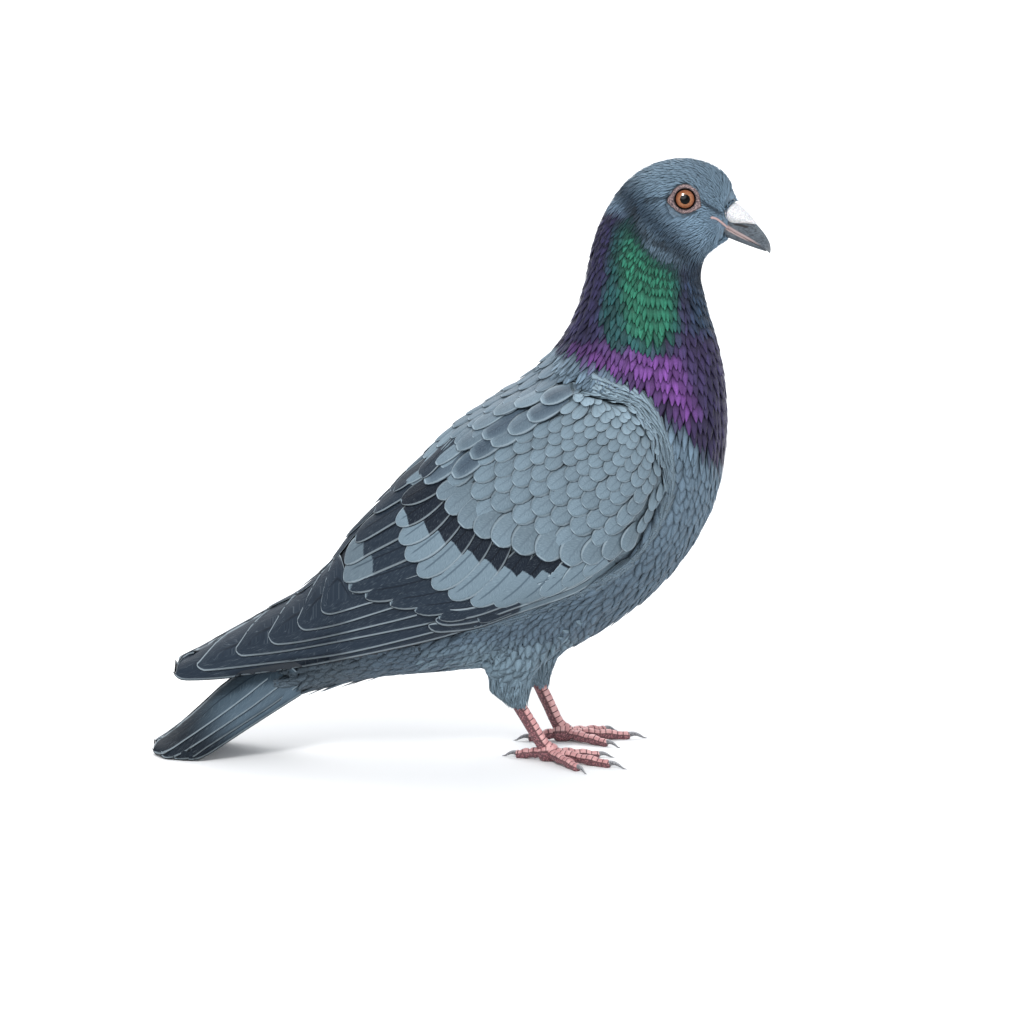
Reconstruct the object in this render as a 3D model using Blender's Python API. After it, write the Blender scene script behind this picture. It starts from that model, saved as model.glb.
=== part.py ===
"""A standing rock pigeon, life size.

Metres, +X towards the bill, +Y to the bird's left, +Z up; the feet stand on z = 0.
Sizes below are in millimetres and are scaled by MM when a mesh is made.
"""

import math

import bmesh
import bpy
import numpy as np
from mathutils import Vector

MM = 0.001
GAP = 0.3  # clearance between neighbouring pieces
SIDES = (("right", -1), ("left", 1))

# ---- plumage outline of head, neck and trunk: rings from the bill's base to the tail's ----
# name, centre x, centre z, lean back from upright in degrees, half depth, half width, squareness
BODY_STATIONS = (
    ("bill base", 107.2, 210.8, -14, 6.2, 2.5, 2.0),
    ("lores", 104.0, 212.5, -13, 10.8, 4.0, 2.0),
    ("forehead", 99.2, 215.1, -6, 16.0, 8.6, 2.0),
    ("eyes", 92.2, 216.3, 9, 19.4, 13.4, 2.1),
    ("crown", 84.7, 214.1, 25, 21.8, 14.2, 2.1),
    ("occiput", 78.5, 208.7, 40, 23.0, 14.4, 2.1),
    ("nape", 74.5, 200.8, 54, 23.1, 14.8, 2.1),
    ("upper neck", 72.5, 191.6, 68, 23.5, 15.8, 2.1),
    ("mid neck", 71.9, 181.2, 78, 24.5, 17.8, 2.1),
    ("lower neck", 71.0, 169.0, 84, 28.0, 20.8, 2.1),
    ("neck root", 68.3, 156.3, 86, 33.6, 25.0, 2.1),
    ("shoulder", 62.7, 143.2, 85, 40.8, 31.0, 2.2),
    ("breast", 55.7, 128.6, 82, 48.1, 37.0, 2.3),
    ("chest", 46.8, 108.9, 78, 52.8, 40.6, 2.3),
    ("ribs", 32.3, 86.9, 74, 52.7, 40.8, 2.3),
    ("belly", 14.2, 67.1, 71, 47.4, 37.0, 2.2),
    ("flank", -4.6, 51.8, 69, 38.6, 30.0, 2.1),
    ("vent", -25.2, 44.1, 66, 26.0, 22.0, 2.0),
    ("rump", -43.0, 39.5, 58.7, 16.4, 17.0, 2.0),
    ("tail base", -58.5, 33.4, 52.2, 10.8, 14.0, 2.0),
    ("undertail coverts", -72.5, 26.3, 46.6, 6.2, 9.5, 2.0),
)
BODY_STEPS = 2  # rings from one station to the next
BODY_SEGMENTS = 24
PIECE_ENDS = (("head", "nape"), ("neck", "neck root"), ("trunk", "vent"), ("rump", "undertail coverts"))

# ---- head ----
EYE_PLACE = Vector((86.5, 8.7, 221.4))
EYE_RADIUS = 6.0
LID_RING, LID_THICKNESS, LID_PLACE = 5.0, 0.85, 12.9
BILL_BASE = Vector((105.3, 0.0, 211.4))
BILL_DROOP = math.radians(37)
# along the bill, top, bottom, half width
UPPER_BILL = (
    (-4.5, 5.0, -2.8, 3.3),
    (0.0, 5.3, -2.7, 3.3),
    (4.0, 5.1, -2.2, 2.9),
    (8.0, 4.7, -1.7, 2.4),
    (12.0, 4.3, -1.2, 2.1),
    (15.0, 3.5, -0.9, 1.7),
    (17.6, 2.1, -0.9, 1.1),
    (19.4, 0.0, -1.3, 0.4),
)
LOWER_BILL = (
    (-3.4, -3.4, -7.0, 3.0),
    (0.0, -3.0, -6.9, 2.8),
    (5.0, -2.4, -5.9, 2.3),
    (10.0, -1.8, -4.2, 1.8),
    (14.0, -1.35, -3.0, 1.3),
    (17.2, -1.3, -2.0, 0.6),
)
CERE = (
    (-5.4, 4.2, 1.2, 2.6),
    (-4.2, 5.9, 0.0, 4.7),
    (-1.4, 7.0, -0.4, 5.3),
    (2.0, 6.7, 0.6, 4.9),
    (5.0, 6.1, 2.2, 3.8),
    (7.3, 5.2, 3.9, 1.5),
)

# ---- folded wing: sections from the shoulder to the tip, for the bird's left ----
# name, upper edge, lower edge, outermost y, thickness
WING_STATIONS = (
    ("scapular front", (44, 12, 149.5), (53, 21, 147.5), 25, 10),
    ("shoulder", (31, 8, 150.5), (70, 27, 144.5), 35, 20),
    ("wrist top", (15, 4.5, 142), (78, 31.5, 132.5), 43, 22),
    ("wrist", (-2, 2.0, 130.5), (81, 31.5, 112.5), 47.5, 22),
    ("coverts", (-19, 1.2, 113.5), (70, 31, 88.5), 48.0, 20),
    ("bars", (-32, 1.2, 99.5), (44, 30, 68.5), 45.0, 16),
    ("tertials", (-43, 1.2, 87.2), (11, 27, 56.5), 38.5, 11),
    ("tertial tips", (-51, 1.4, 75), (-18, 27, 47.5), 31.5, 6),
    ("primaries", (-63, 1.6, 64), (-47, 22, 40.5), 26.0, 4.5),
    ("primaries mid", (-80, 2, 54), (-71, 17.5, 36), 21.5, 3.5),
    ("primaries end", (-97, 2.4, 44.3), (-91, 14.5, 32.8), 17.0, 2.6),
    ("outer primaries", (-108, 3, 38.5), (-105, 11.5, 31.8), 13.2, 2.0),
    ("wing tip", (-112.5, 4.5, 35.6), (-112, 10, 32.3), 10.6, 1.2),
)
WING_STEPS = 1
WING_SEGMENTS = 10  # along the outer face, and as many along the inner
WING_LAST = "tertial tips"  # the coverts' piece ends here and the primaries' piece begins

# ---- tail: sections from under the rump to the tip ----
# x, z of the ridge, half width, drop of the edges, thickness
TAIL_STATIONS = (
    (-50, 44.5, 13.0, 9.0, 8.0),
    (-60, 43.5, 15.0, 12.0, 9.0),
    (-72, 39.6, 17.0, 14.0, 9.0),
    (-84, 33.6, 18.5, 15.5, 8.5),
    (-94, 25.8, 19.0, 15.3, 7.0),
    (-103, 17.2, 19.0, 12.4, 4.4),
    (-111, 9.8, 17.5, 7.6, 2.4),
    (-117, 5.2, 14.5, 3.8, 1.6),
    (-120.5, 3.0, 9.0, 1.3, 1.2),
)
TAIL_STEPS = 1
TAIL_SEGMENTS = 10

# ---- legs and feet ----
# centre x and z of each section of the right thigh, half length, half width
THIGH = (
    (25.5, 52.0, 17.0, 11.0),
    (23.0, 46.0, 15.0, 10.5),
    (20.6, 39.8, 12.2, 9.4),
    (19.1, 33.7, 8.7, 7.4),
    (19.2, 28.4, 7.9, 6.2),
    (21.4, 24.0, 4.4, 4.2),
    (22.4, 21.4, 3.2, 3.1),
)
THIGH_Y, FOOT_Y = 18.0, 16.5
LEFT_THIGH_AHEAD, LEFT_THIGH_LEAN = 8.6, 0.36  # the left leg stands further forward
LEFT_FOOT_AHEAD = 5.8
ANKLE = Vector((19.9, 0.0, 27.0))
FOOT = Vector((34.0, 0.0, 3.2))
SHANK_HALF = (2.6, 2.1)  # fore and aft, sideways
PAD_HALF = (4.4, 3.7, 3.9)
TOE_ROOT = 1.5  # a toe starts this far from the centre of its foot
TOE_RADIUS = 2.05
TOE_FLATTEN = 0.35  # how far a toe's round underside is cut by the floor
TOE_RISE = 1.9  # how much higher a toe is at its foot than at its tip
TOE_STEPS = 7
CLAW_RADIUS = 1.15
# name, heading from straight ahead towards the bird's outer side, length, claw length
TOES = (
    ("middle", 2, 27.0, 7.0),
    ("inner", -34, 20.5, 6.0),
    ("outer", 33, 21.5, 6.0),
    ("hind", 178, 13.5, 6.0),
)
TOE_OUT = {"right": 24, "left": 4}  # how far each foot turns outwards


def material(name, colour, roughness, metallic=0.0):
    made = bpy.data.materials.new(name)
    made.use_nodes = True
    shader = made.node_tree.nodes["Principled BSDF"]
    shader.inputs["Base Color"].default_value = (*colour, 1.0)
    shader.inputs["Roughness"].default_value = roughness
    shader.inputs["Metallic"].default_value = metallic
    return made


def clear_scene():
    for obj in list(bpy.data.objects):
        bpy.data.objects.remove(obj)
    made = {}
    for name in ("pigeon", "cutters"):
        made[name] = bpy.data.collections.new(name)
        bpy.context.scene.collection.children.link(made[name])
    return made["pigeon"], made["cutters"]


def smooth_rows(rows, steps):
    """Catmull-Rom rows: the given rows with steps - 1 more between each two."""
    rows = np.array(rows, float)
    padded = np.vstack([2 * rows[0] - rows[1], rows, 2 * rows[-1] - rows[-2]])
    found = []
    for i in range(1, len(padded) - 2):
        before, start, end, after = padded[i - 1 : i + 3]
        for step in range(steps):
            t = step / steps
            found.append(
                start
                + 0.5 * t * (end - before)
                + t**2 * (before - 2.5 * start + 2 * end - 0.5 * after)
                + 0.5 * t**3 * (3 * (start - end) + after - before)
            )
    return np.array([*found, rows[-1]])


def power(value, exponent):
    return math.copysign(abs(value) ** exponent, value)


def loft(name, rings, finish, bowed=False):
    """One closed mesh through rings of equally many points, in millimetres.

    A round ring is capped with a fan. A bowed one, whose second half runs back along its
    first, is capped with a ladder between the two.
    """
    mesh = bmesh.new()
    rows = [[mesh.verts.new(Vector(point) * MM) for point in ring] for ring in rings]
    count = len(rings[0])
    for first, second in zip(rows, rows[1:]):
        for i in range(count):
            j = (i + 1) % count
            mesh.faces.new((first[i], first[j], second[j], second[i]))
    for row in (rows[0], rows[-1]):
        if bowed:
            mesh.faces.new((row[0], row[1], row[-1]))
            for i in range(1, count // 2 - 1):
                mesh.faces.new((row[i], row[i + 1], row[-i - 1], row[-i]))
            mesh.faces.new((row[count // 2 - 1], row[count // 2], row[count // 2 + 1]))
        else:
            middle = mesh.verts.new(sum((v.co for v in row), Vector()) / count)
            for i in range(count):
                mesh.faces.new((row[i], row[(i + 1) % count], middle))
    bmesh.ops.recalc_face_normals(mesh, faces=mesh.faces)
    data = bpy.data.meshes.new(name)
    mesh.to_mesh(data)
    mesh.free()
    data.shade_smooth()
    obj = bpy.data.objects.new(name, data)
    obj.data.materials.append(finish)
    return obj


def ellipse(centre, along, across, half_along, half_across, count, squareness=2.0, turn=0.0):
    """A ring round centre in the plane of two unit vectors; turn shifts it by part of a step."""
    points = []
    for i in range(count):
        angle = 2 * math.pi * (i + turn) / count
        u = power(math.cos(angle), 2 / squareness) * half_along
        v = power(math.sin(angle), 2 / squareness) * half_across
        points.append(Vector(centre) + Vector(along) * u + Vector(across) * v)
    return points


def on_floor(rings):
    """The rings with what reaches below the floor laid flat on it."""
    return [[Vector((p.x, p.y, max(p.z, 0.0))) for p in ring] for ring in rings]


def as_cutter(obj, cutters):
    cutters.objects.link(obj)
    obj.hide_render = True
    obj.display_type = "WIRE"
    return obj


def cut(obj, *cutters):
    for cutter in cutters:
        modifier = obj.modifiers.new("clear of " + cutter.name, "BOOLEAN")
        modifier.operation = "DIFFERENCE"
        modifier.object = cutter


def body_rings(grow=0.0):
    rows = smooth_rows([station[1:] for station in BODY_STATIONS], BODY_STEPS)
    rings = []
    for x, z, lean, depth, width, squareness in rows:
        tilt = math.radians(lean)
        up = Vector((-math.sin(tilt), 0, math.cos(tilt)))
        rings.append(
            ellipse((x, 0, z), up, (0, 1, 0), depth + grow, width + grow, BODY_SEGMENTS, squareness)
        )
    return rings


def ring_normal(ring):
    return (ring[1] - ring[0]).cross(ring[len(ring) // 3] - ring[0]).normalized()


def shifted(ring, towards, distance):
    """A flat ring moved along its own normal, to the side where the point towards is."""
    normal = ring_normal(ring)
    if normal.dot(towards - ring[0]) < 0:
        normal.negate()
    return [point + normal * distance for point in ring]


def ring_centre(ring):
    return sum(ring, Vector()) / len(ring)


def station_ring(name):
    names = [station[0] for station in BODY_STATIONS]
    return names.index(name) * BODY_STEPS


def make_body(pigeon, plumage):
    """Head, neck, trunk and rump: one loft parted by flat cuts."""
    rings = body_rings()
    made, first = {}, 0
    for name, end in PIECE_ENDS:
        last = station_ring(end)
        piece = rings[first : last + 1]
        if first:
            piece[0] = shifted(piece[0], ring_centre(piece[1]), GAP / 2)
        if last < len(rings) - 1:
            piece[-1] = shifted(piece[-1], ring_centre(piece[-2]), GAP / 2)
        made[name] = loft(name, piece, plumage[name])
        pigeon.objects.link(made[name])
        first = last
    return made


def bill_rings(rows, grow=0.0):
    ahead = Vector((math.cos(BILL_DROOP), 0, -math.sin(BILL_DROOP)))
    above = Vector((math.sin(BILL_DROOP), 0, math.cos(BILL_DROOP)))
    rings = []
    for along, top, bottom, width in rows:
        centre = BILL_BASE + ahead * along + above * (top + bottom) / 2
        rings.append(ellipse(centre, above, (0, 1, 0), (top - bottom) / 2 + grow, width + grow, 12))
    rings[0] = [p - ahead * grow for p in rings[0]]
    rings[-1] = [p + ahead * grow for p in rings[-1]]
    return rings


def make_bill(pigeon, cutters, head, horn, waxy):
    pieces = {}
    for name, rows, finish in (
        ("bill_upper", UPPER_BILL, horn),
        ("bill_lower", LOWER_BILL, horn),
        ("cere", CERE, waxy),
    ):
        pieces[name] = loft(name, bill_rings(rows), finish)
        pigeon.objects.link(pieces[name])
        cut(head, as_cutter(loft(name + "_room", bill_rings(rows, GAP), finish), cutters))
    cut(pieces["bill_upper"], bpy.data.objects["cere_room"])
    cut(pieces["bill_lower"], bpy.data.objects["bill_upper_room"])


def unlinked(obj, name, finish):
    obj.name = name
    obj.data.materials.append(finish)
    obj.data.shade_smooth()
    for collection in list(obj.users_collection):
        collection.objects.unlink(obj)
    return obj


def ball(name, radius, place, finish):
    bpy.ops.mesh.primitive_uv_sphere_add(
        segments=14, ring_count=8, radius=radius * MM, location=place * MM
    )
    return unlinked(bpy.context.object, name, finish)


def lid_ring(name, place, finish):
    bpy.ops.mesh.primitive_torus_add(
        major_segments=18,
        minor_segments=6,
        major_radius=LID_RING * MM,
        minor_radius=LID_THICKNESS * MM,
        location=place * MM,
        rotation=(math.pi / 2, 0, 0),
    )
    return unlinked(bpy.context.object, name, finish)


def lid_recess(name, place, outward, finish):
    """The round seat of the eyelid ring, open to the outside."""
    depth = 8.0
    floor = LID_THICKNESS + GAP
    bpy.ops.mesh.primitive_cylinder_add(
        vertices=18,
        radius=(LID_RING + LID_THICKNESS + GAP) * MM,
        depth=depth * MM,
        location=(place + Vector((0, outward * (depth / 2 - floor), 0))) * MM,
        rotation=(math.pi / 2, 0, 0),
    )
    return unlinked(bpy.context.object, name, finish)


def make_eyes(pigeon, cutters, head, iris, skin):
    for side, sign in SIDES:
        place = Vector((EYE_PLACE.x, sign * EYE_PLACE.y, EYE_PLACE.z))
        lid_place = Vector((EYE_PLACE.x, sign * LID_PLACE, EYE_PLACE.z))
        eye = ball("eye_" + side, EYE_RADIUS, place, iris)
        lid = lid_ring("eyelid_" + side, lid_place, skin)
        pigeon.objects.link(eye)
        pigeon.objects.link(lid)
        eye_room = as_cutter(ball(f"eye_{side}_room", EYE_RADIUS + GAP, place, iris), cutters)
        lid_room = lid_recess(f"eyelid_{side}_room", lid_place, sign, skin)
        cut(head, eye_room, as_cutter(lid_room, cutters))
        cut(lid, eye_room)


def wing_rings(sign):
    """Closed sections: an outer arc from the upper edge to the lower, and an inner arc back."""
    rows = [(*upper, *lower, out, thick) for _, upper, lower, out, thick in WING_STATIONS]
    rings = []
    for row in smooth_rows(rows, WING_STEPS):
        upper, lower, out, thick = Vector(row[:3]), Vector(row[3:6]), row[6], row[7]
        outer, inner = [], []
        for i in range(WING_SEGMENTS + 1):
            # an even cosine spacing keeps both edges round
            v = 0.5 - 0.5 * math.cos(math.pi * i / WING_SEGMENTS)
            edge = upper.lerp(lower, v)
            # the back half of the arch is fuller than the half that runs down to the breast
            full, rise = (2.4, 0.5) if v < 0.5 else (2.2, 0.6)
            arch = (1 - abs(2 * v - 1) ** full) ** rise
            bulge = (out - (0.4 * upper.y + 0.6 * lower.y)) * arch
            point = Vector((edge.x, sign * (edge.y + bulge), edge.z))
            outer.append(point)
            depth = thick * math.sqrt(max(0.0, 1 - (2 * v - 1) ** 4))
            # the wall is measured straight inwards at the side, and mostly downwards over the back
            slope = 1.1 * max(0.0, 1 - 2 * v)
            inner.append(point - Vector((0, sign * math.cos(slope), math.sin(slope))) * depth)
        rings.append(outer + inner[-2:0:-1])
    return rings


def make_wings(pigeon, body_room, plumage):
    names = [station[0] for station in WING_STATIONS]
    split = names.index(WING_LAST) * WING_STEPS
    for side, sign in SIDES:
        rings = wing_rings(sign)
        near, far = rings[: split + 1], rings[split:]
        step = (ring_centre(rings[split]) - ring_centre(rings[split - 1])).normalized() * GAP
        near[-1] = [p - step for p in near[-1]]
        wing = loft("wing_" + side, near, plumage["wing"], bowed=True)
        cut(wing, body_room)
        pigeon.objects.link(wing)
        tip = loft("primaries_" + side, far, plumage["primaries"], bowed=True)
        pigeon.objects.link(tip)


def tail_rings(grow=0.0):
    rings = []
    for x, z, width, drop, thick in smooth_rows(TAIL_STATIONS, TAIL_STEPS):
        top, bottom = [], []
        for i in range(TAIL_SEGMENTS + 1):
            across = -math.cos(math.pi * i / TAIL_SEGMENTS)
            level = z - drop * across**2
            depth = thick * math.sqrt(max(0.0, 1 - across**4))
            side = across * (width + grow)
            top.append(Vector((x, side, level + grow)))
            bottom.append(Vector((x, side, level - depth - grow)))
        rings.append(top + bottom[-2:0:-1])
    return rings


def make_thigh(name, sign, finish):
    rings = []
    for x, z, length, width in smooth_rows(THIGH, 1):
        if sign > 0:
            x += LEFT_THIGH_AHEAD + LEFT_THIGH_LEAN * max(z - 30, 0)
        rings.append(ellipse((x, sign * THIGH_Y, z), (1, 0, 0), (0, 1, 0), length, width, 16))
    return loft(name, rings, finish)


def tube(name, centres, halves, finish, count=10, grow=0.0):
    """A round bar through centres; halves gives its two half widths at each, in the bar's own upright plane."""
    rings = []
    for i, centre in enumerate(centres):
        ahead = centres[min(i + 1, len(centres) - 1)] - centres[max(i - 1, 0)]
        ahead.normalize()
        side = ahead.cross(Vector((0, 0, 1)))
        side = side.normalized() if side.length > 1e-3 else Vector((0, 1, 0))
        above = side.cross(ahead)
        upright, level = halves[i]
        # half a step's turn puts a facet underneath, which lies flat on the floor
        rings.append(
            ellipse(centre, above, side, upright + grow, level + grow, count, turn=0.5)
        )
    start = (centres[0] - centres[1]).normalized() * grow
    end = (centres[-1] - centres[-2]).normalized() * grow
    rings[0] = [p + start for p in rings[0]]
    rings[-1] = [p + end for p in rings[-1]]
    return loft(name, rings if grow else on_floor(rings), finish)


def toe_radius(t):
    """A pad under each of the toe's joints makes it swell and shrink."""
    swell = 1 + 0.07 * math.cos(3 * 2 * math.pi * t)
    return TOE_RADIUS * (1.04 - 0.2 * t) * swell


def toe_path(foot, heading, length):
    """Centres from the foot to the toe's end: down to the floor, with a low arch."""
    ahead = Vector((math.cos(heading), math.sin(heading), 0))
    centres = []
    for i in range(TOE_STEPS + 1):
        t = i / TOE_STEPS
        level = toe_radius(t) - TOE_FLATTEN
        height = level + TOE_RISE * (1 - t) ** 3 + 0.5 * math.sin(math.pi * t) ** 2
        along = TOE_ROOT + (length - TOE_ROOT) * t
        centres.append(Vector((foot.x, foot.y, height)) + ahead * along)
    centres[-1].z -= 0.3
    return centres


def toe_halves():
    halves = []
    for i in range(TOE_STEPS + 1):
        radius = toe_radius(i / TOE_STEPS) * (0.75 if i == TOE_STEPS else 1.0)
        halves.append((radius, radius))
    return halves


def claw_path(end, heading, length):
    """From inside the toe's end, over a low bow and down to the floor."""
    ahead = Vector((math.cos(heading), math.sin(heading), 0))
    start = end - ahead * 1.5 + Vector((0, 0, 0.3))
    centres = []
    for i in range(6):
        t = i / 5
        bow = 0.9 * math.sin(math.pi * min(t * 1.25, 1.0))
        height = start.z * (1 - t) + 0.15 * t + bow
        centres.append(Vector((start.x, start.y, height)) + ahead * (length + 1.5) * t)
    return centres


def claw_halves():
    return [(CLAW_RADIUS * (1 - 0.16 * i), CLAW_RADIUS * (0.8 - 0.125 * i)) for i in range(6)]


def make_foot(pigeon, cutters, side, foot, scaly, horn):
    """The pad, its toes and their claws. Returns the pad's cutter, for the shank."""
    centres = [foot + Vector((x * PAD_HALF[0], 0, 0)) for x in (-1, -0.85, -0.4, 0.1, 0.6, 0.9, 1)]
    shares = (0.25, 0.6, 0.95, 1.0, 0.85, 0.5, 0.25)
    halves = [(share * PAD_HALF[2], share * PAD_HALF[1]) for share in shares]
    pad = tube("foot_" + side, centres, halves, scaly, 14)
    pad_room = as_cutter(tube(f"foot_{side}_room", centres, halves, scaly, 14, GAP), cutters)
    pigeon.objects.link(pad)
    sign = dict(SIDES)[side]
    toe_rooms = []
    for name, spread, length, claw_length in TOES:
        heading = sign * math.radians(spread + TOE_OUT[side])
        path, toe_width = toe_path(foot, heading, length), toe_halves()
        toe = tube(f"toe_{name}_{side}", path, toe_width, scaly, 8)
        cut(toe, pad_room, *toe_rooms)
        pigeon.objects.link(toe)
        room = as_cutter(tube(f"toe_{name}_{side}_room", path, toe_width, scaly, 8, GAP), cutters)
        toe_rooms.append(room)
        claw_line = claw_path(path[-1], heading, claw_length)
        claw = tube(f"claw_{name}_{side}", claw_line, claw_halves(), horn, 6)
        cut(claw, room)
        pigeon.objects.link(claw)
    return [pad_room, *toe_rooms]


def make_legs(pigeon, cutters, body_room, plumage, scaly, horn):
    for side, sign in SIDES:
        left = side == "left"
        ankle = ANKLE + Vector((LEFT_THIGH_AHEAD * left, sign * THIGH_Y, 0))
        foot = FOOT + Vector((LEFT_FOOT_AHEAD * left, sign * FOOT_Y, 0))
        thigh = make_thigh("thigh_" + side, sign, plumage["belly"])
        pigeon.objects.link(thigh)
        path = [ankle.lerp(foot, t) for t in (0, 0.25, 0.5, 0.75, 1)]
        fore, level = SHANK_HALF
        halves = [(fore * k, level * k) for k in (1.1, 1.0, 0.95, 1.0, 1.15)]
        shank = tube("shank_" + side, path, halves, scaly, 12)
        pigeon.objects.link(shank)
        shank_room = as_cutter(tube(f"shank_{side}_room", path, halves, scaly, 12, GAP), cutters)
        cut(thigh, body_room, shank_room)
        cut(shank, *make_foot(pigeon, cutters, side, foot, scaly, horn))


def centre_over_origin(pigeon):
    """Slides every object so that the whole stands over the origin lengthways."""
    bpy.context.view_layer.update()
    graph = bpy.context.evaluated_depsgraph_get()
    reach = []
    for obj in pigeon.objects:
        mesh = obj.evaluated_get(graph).to_mesh()
        reach += [(obj.matrix_world @ v.co).x for v in mesh.vertices]
    middle = (min(reach) + max(reach)) / 2
    for obj in bpy.data.objects:
        obj.location.x -= middle


def main():
    pigeon, cutters = clear_scene()
    plumage = {
        "head": material("head plumage", (0.16, 0.22, 0.28), 0.7),
        "neck": material("neck plumage", (0.05, 0.22, 0.15), 0.35, 0.3),
        "trunk": material("breast plumage", (0.13, 0.18, 0.23), 0.75),
        "rump": material("rump plumage", (0.17, 0.23, 0.28), 0.75),
        "belly": material("belly plumage", (0.12, 0.17, 0.21), 0.8),
        "wing": material("wing coverts", (0.26, 0.33, 0.39), 0.7),
        "primaries": material("flight feathers", (0.05, 0.065, 0.08), 0.6),
        "tail": material("tail feathers", (0.06, 0.08, 0.1), 0.6),
    }
    horn = material("horn", (0.06, 0.07, 0.08), 0.35)
    waxy = material("cere", (0.75, 0.75, 0.74), 0.6)
    iris = material("eye", (0.35, 0.1, 0.03), 0.08)
    lid_skin = material("eyelid skin", (0.3, 0.2, 0.2), 0.6)
    scaly = material("scaly skin", (0.42, 0.14, 0.13), 0.5)

    body = make_body(pigeon, plumage)
    body_room = as_cutter(loft("body_room", body_rings(GAP), plumage["trunk"]), cutters)
    make_bill(pigeon, cutters, body["head"], horn, waxy)
    make_eyes(pigeon, cutters, body["head"], iris, lid_skin)
    make_wings(pigeon, body_room, plumage)
    tail = loft("tail", tail_rings(), plumage["tail"], bowed=True)
    pigeon.objects.link(tail)
    cut(tail, body_room)
    make_legs(pigeon, cutters, body_room, plumage, scaly, horn)
    centre_over_origin(pigeon)


main()
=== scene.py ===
"""The looks of the standing rock pigeon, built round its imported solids.

Metres, +X towards the bill, +Y to the bird's left, +Z up: the row's frame, in which the solids are packed.
Tables are in millimetres in the bird's own frame, whose X is OFFSET ahead of the row's. Colours are linear.
"""

import math

import bpy
import numpy as np
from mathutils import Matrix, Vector
from mathutils.bvhtree import BVHTree


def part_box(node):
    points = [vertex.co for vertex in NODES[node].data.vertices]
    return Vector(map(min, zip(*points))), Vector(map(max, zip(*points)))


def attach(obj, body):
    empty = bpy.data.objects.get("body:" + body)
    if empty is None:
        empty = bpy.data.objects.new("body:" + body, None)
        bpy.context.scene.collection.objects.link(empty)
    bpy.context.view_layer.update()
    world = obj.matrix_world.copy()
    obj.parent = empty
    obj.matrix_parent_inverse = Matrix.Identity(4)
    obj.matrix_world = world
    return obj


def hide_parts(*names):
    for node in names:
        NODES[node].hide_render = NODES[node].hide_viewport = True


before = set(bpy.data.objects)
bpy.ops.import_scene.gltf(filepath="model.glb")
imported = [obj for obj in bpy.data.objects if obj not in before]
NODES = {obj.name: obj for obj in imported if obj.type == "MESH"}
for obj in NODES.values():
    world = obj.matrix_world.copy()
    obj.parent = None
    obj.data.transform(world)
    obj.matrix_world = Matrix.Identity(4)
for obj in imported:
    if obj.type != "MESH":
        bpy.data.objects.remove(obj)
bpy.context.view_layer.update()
MM = 0.001
rng = np.random.default_rng(11)
# side of the square of the baked picture that a small feather covers, as a part of the picture's side
TUFT_PATCH = 0.003
# the least height of a big feather over the floor, in metres
FLOOR_GAP = 0.0004
# over how many millimetres from a big feather's edge its nearness to the edge falls away
RIM_SPAN = 5.0
# how far outside the bird, in millimetres, rays start that look at it from the side
OUTSIDE = 150

EYE = np.array([86.5, 8.7, 221.4])
# the eyeball's radius, how many degrees its axis tilts up, and the radius of the opening between the lids
EYE_RADIUS, EYE_TILT, LID_OPENING = 6.0, 3.6, 3.95
low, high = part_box("eye_right")
OFFSET = EYE[0] - (low.x + high.x) / 2 / MM
ELEVATION = math.radians(12)
# what nearness to the camera takes off a point's z, as it is seen, over its distance from the middle
NEARNESS = math.tan(ELEVATION)
AWAY = np.array([0, math.cos(ELEVATION), -math.sin(ELEVATION)])
UP = np.array([0, 0, 1.0])

PLUMED = ["head", "neck", "trunk", "rump", "tail"] + [
    f"{part}_{side}" for part in ("thigh", "wing", "primaries") for side in ("right", "left")
]

# centre x and z of rings along the bird, and their lean back from upright, bill to tail. They repeat the
# body stations of part.py, first worked out by a scratch script from the picture's outline: see report.md
SPINE = np.array([
    (107.2, 210.8, -14), (104.0, 212.5, -13), (99.2, 215.1, -6), (92.2, 216.3, 9), (84.7, 214.1, 25),
    (78.5, 208.7, 40), (74.5, 200.8, 54), (72.5, 191.6, 68), (71.9, 181.2, 78), (71.0, 169.0, 84),
    (68.3, 156.3, 86), (62.7, 143.2, 85), (55.7, 128.6, 82), (46.8, 108.9, 78), (32.3, 86.9, 74),
    (14.2, 67.1, 71), (-4.6, 51.8, 69), (-25.2, 44.1, 66), (-43.0, 39.5, 58.7), (-58.5, 33.4, 52.2),
    (-72.5, 26.3, 46.6),
])
LAST_STATION = len(SPINE) - 1


# ---------------------------------------------------------------- small tools
def unit(v):
    return v / np.maximum(np.linalg.norm(v, axis=-1, keepdims=True), 1e-12)


def dot(a, b):
    return (a * b).sum(-1)


def smooth(value, start, end):
    t = np.clip((value - start) / (end - start), 0, 1)
    return t * t * (3 - 2 * t)


def blend(a, b, t):
    t = np.asarray(t)[..., None]
    return np.asarray(a) * (1 - t) + np.asarray(b) * t


def layered(base, count, *layers):
    """A colour for each of count places: the base, with each (colour, amount) laid over it in turn."""
    colour = np.tile(base, (count, 1))
    for shade, amount in layers:
        colour = blend(colour, shade, amount)
    return colour


def to_row(points):
    """Metres of the row's frame from the bird's millimetres."""
    return (np.asarray(points, float) - (OFFSET, 0, 0)) * MM


def to_bird(points):
    return points / MM + (OFFSET, 0, 0)


def together(*parts):
    """Arrays or numbers side by side along a new last axis."""
    return np.stack(np.broadcast_arrays(*parts), -1)


def in_picture(flat):
    """Points of the bird's middle plane, from x and the height in the picture."""
    return together(flat[..., 0], 0 * flat[..., 0], flat[..., 1] / math.cos(ELEVATION))


def from_segment(x, y, start, end):
    """Distance of places from the straight line between two points."""
    (ax, ay), (bx, by) = start, end
    t = np.clip(((x - ax) * (bx - ax) + (y - ay) * (by - ay)) / ((bx - ax) ** 2 + (by - ay) ** 2), 0, 1)
    return np.hypot(x - ax - t * (bx - ax), y - ay - t * (by - ay))


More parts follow.
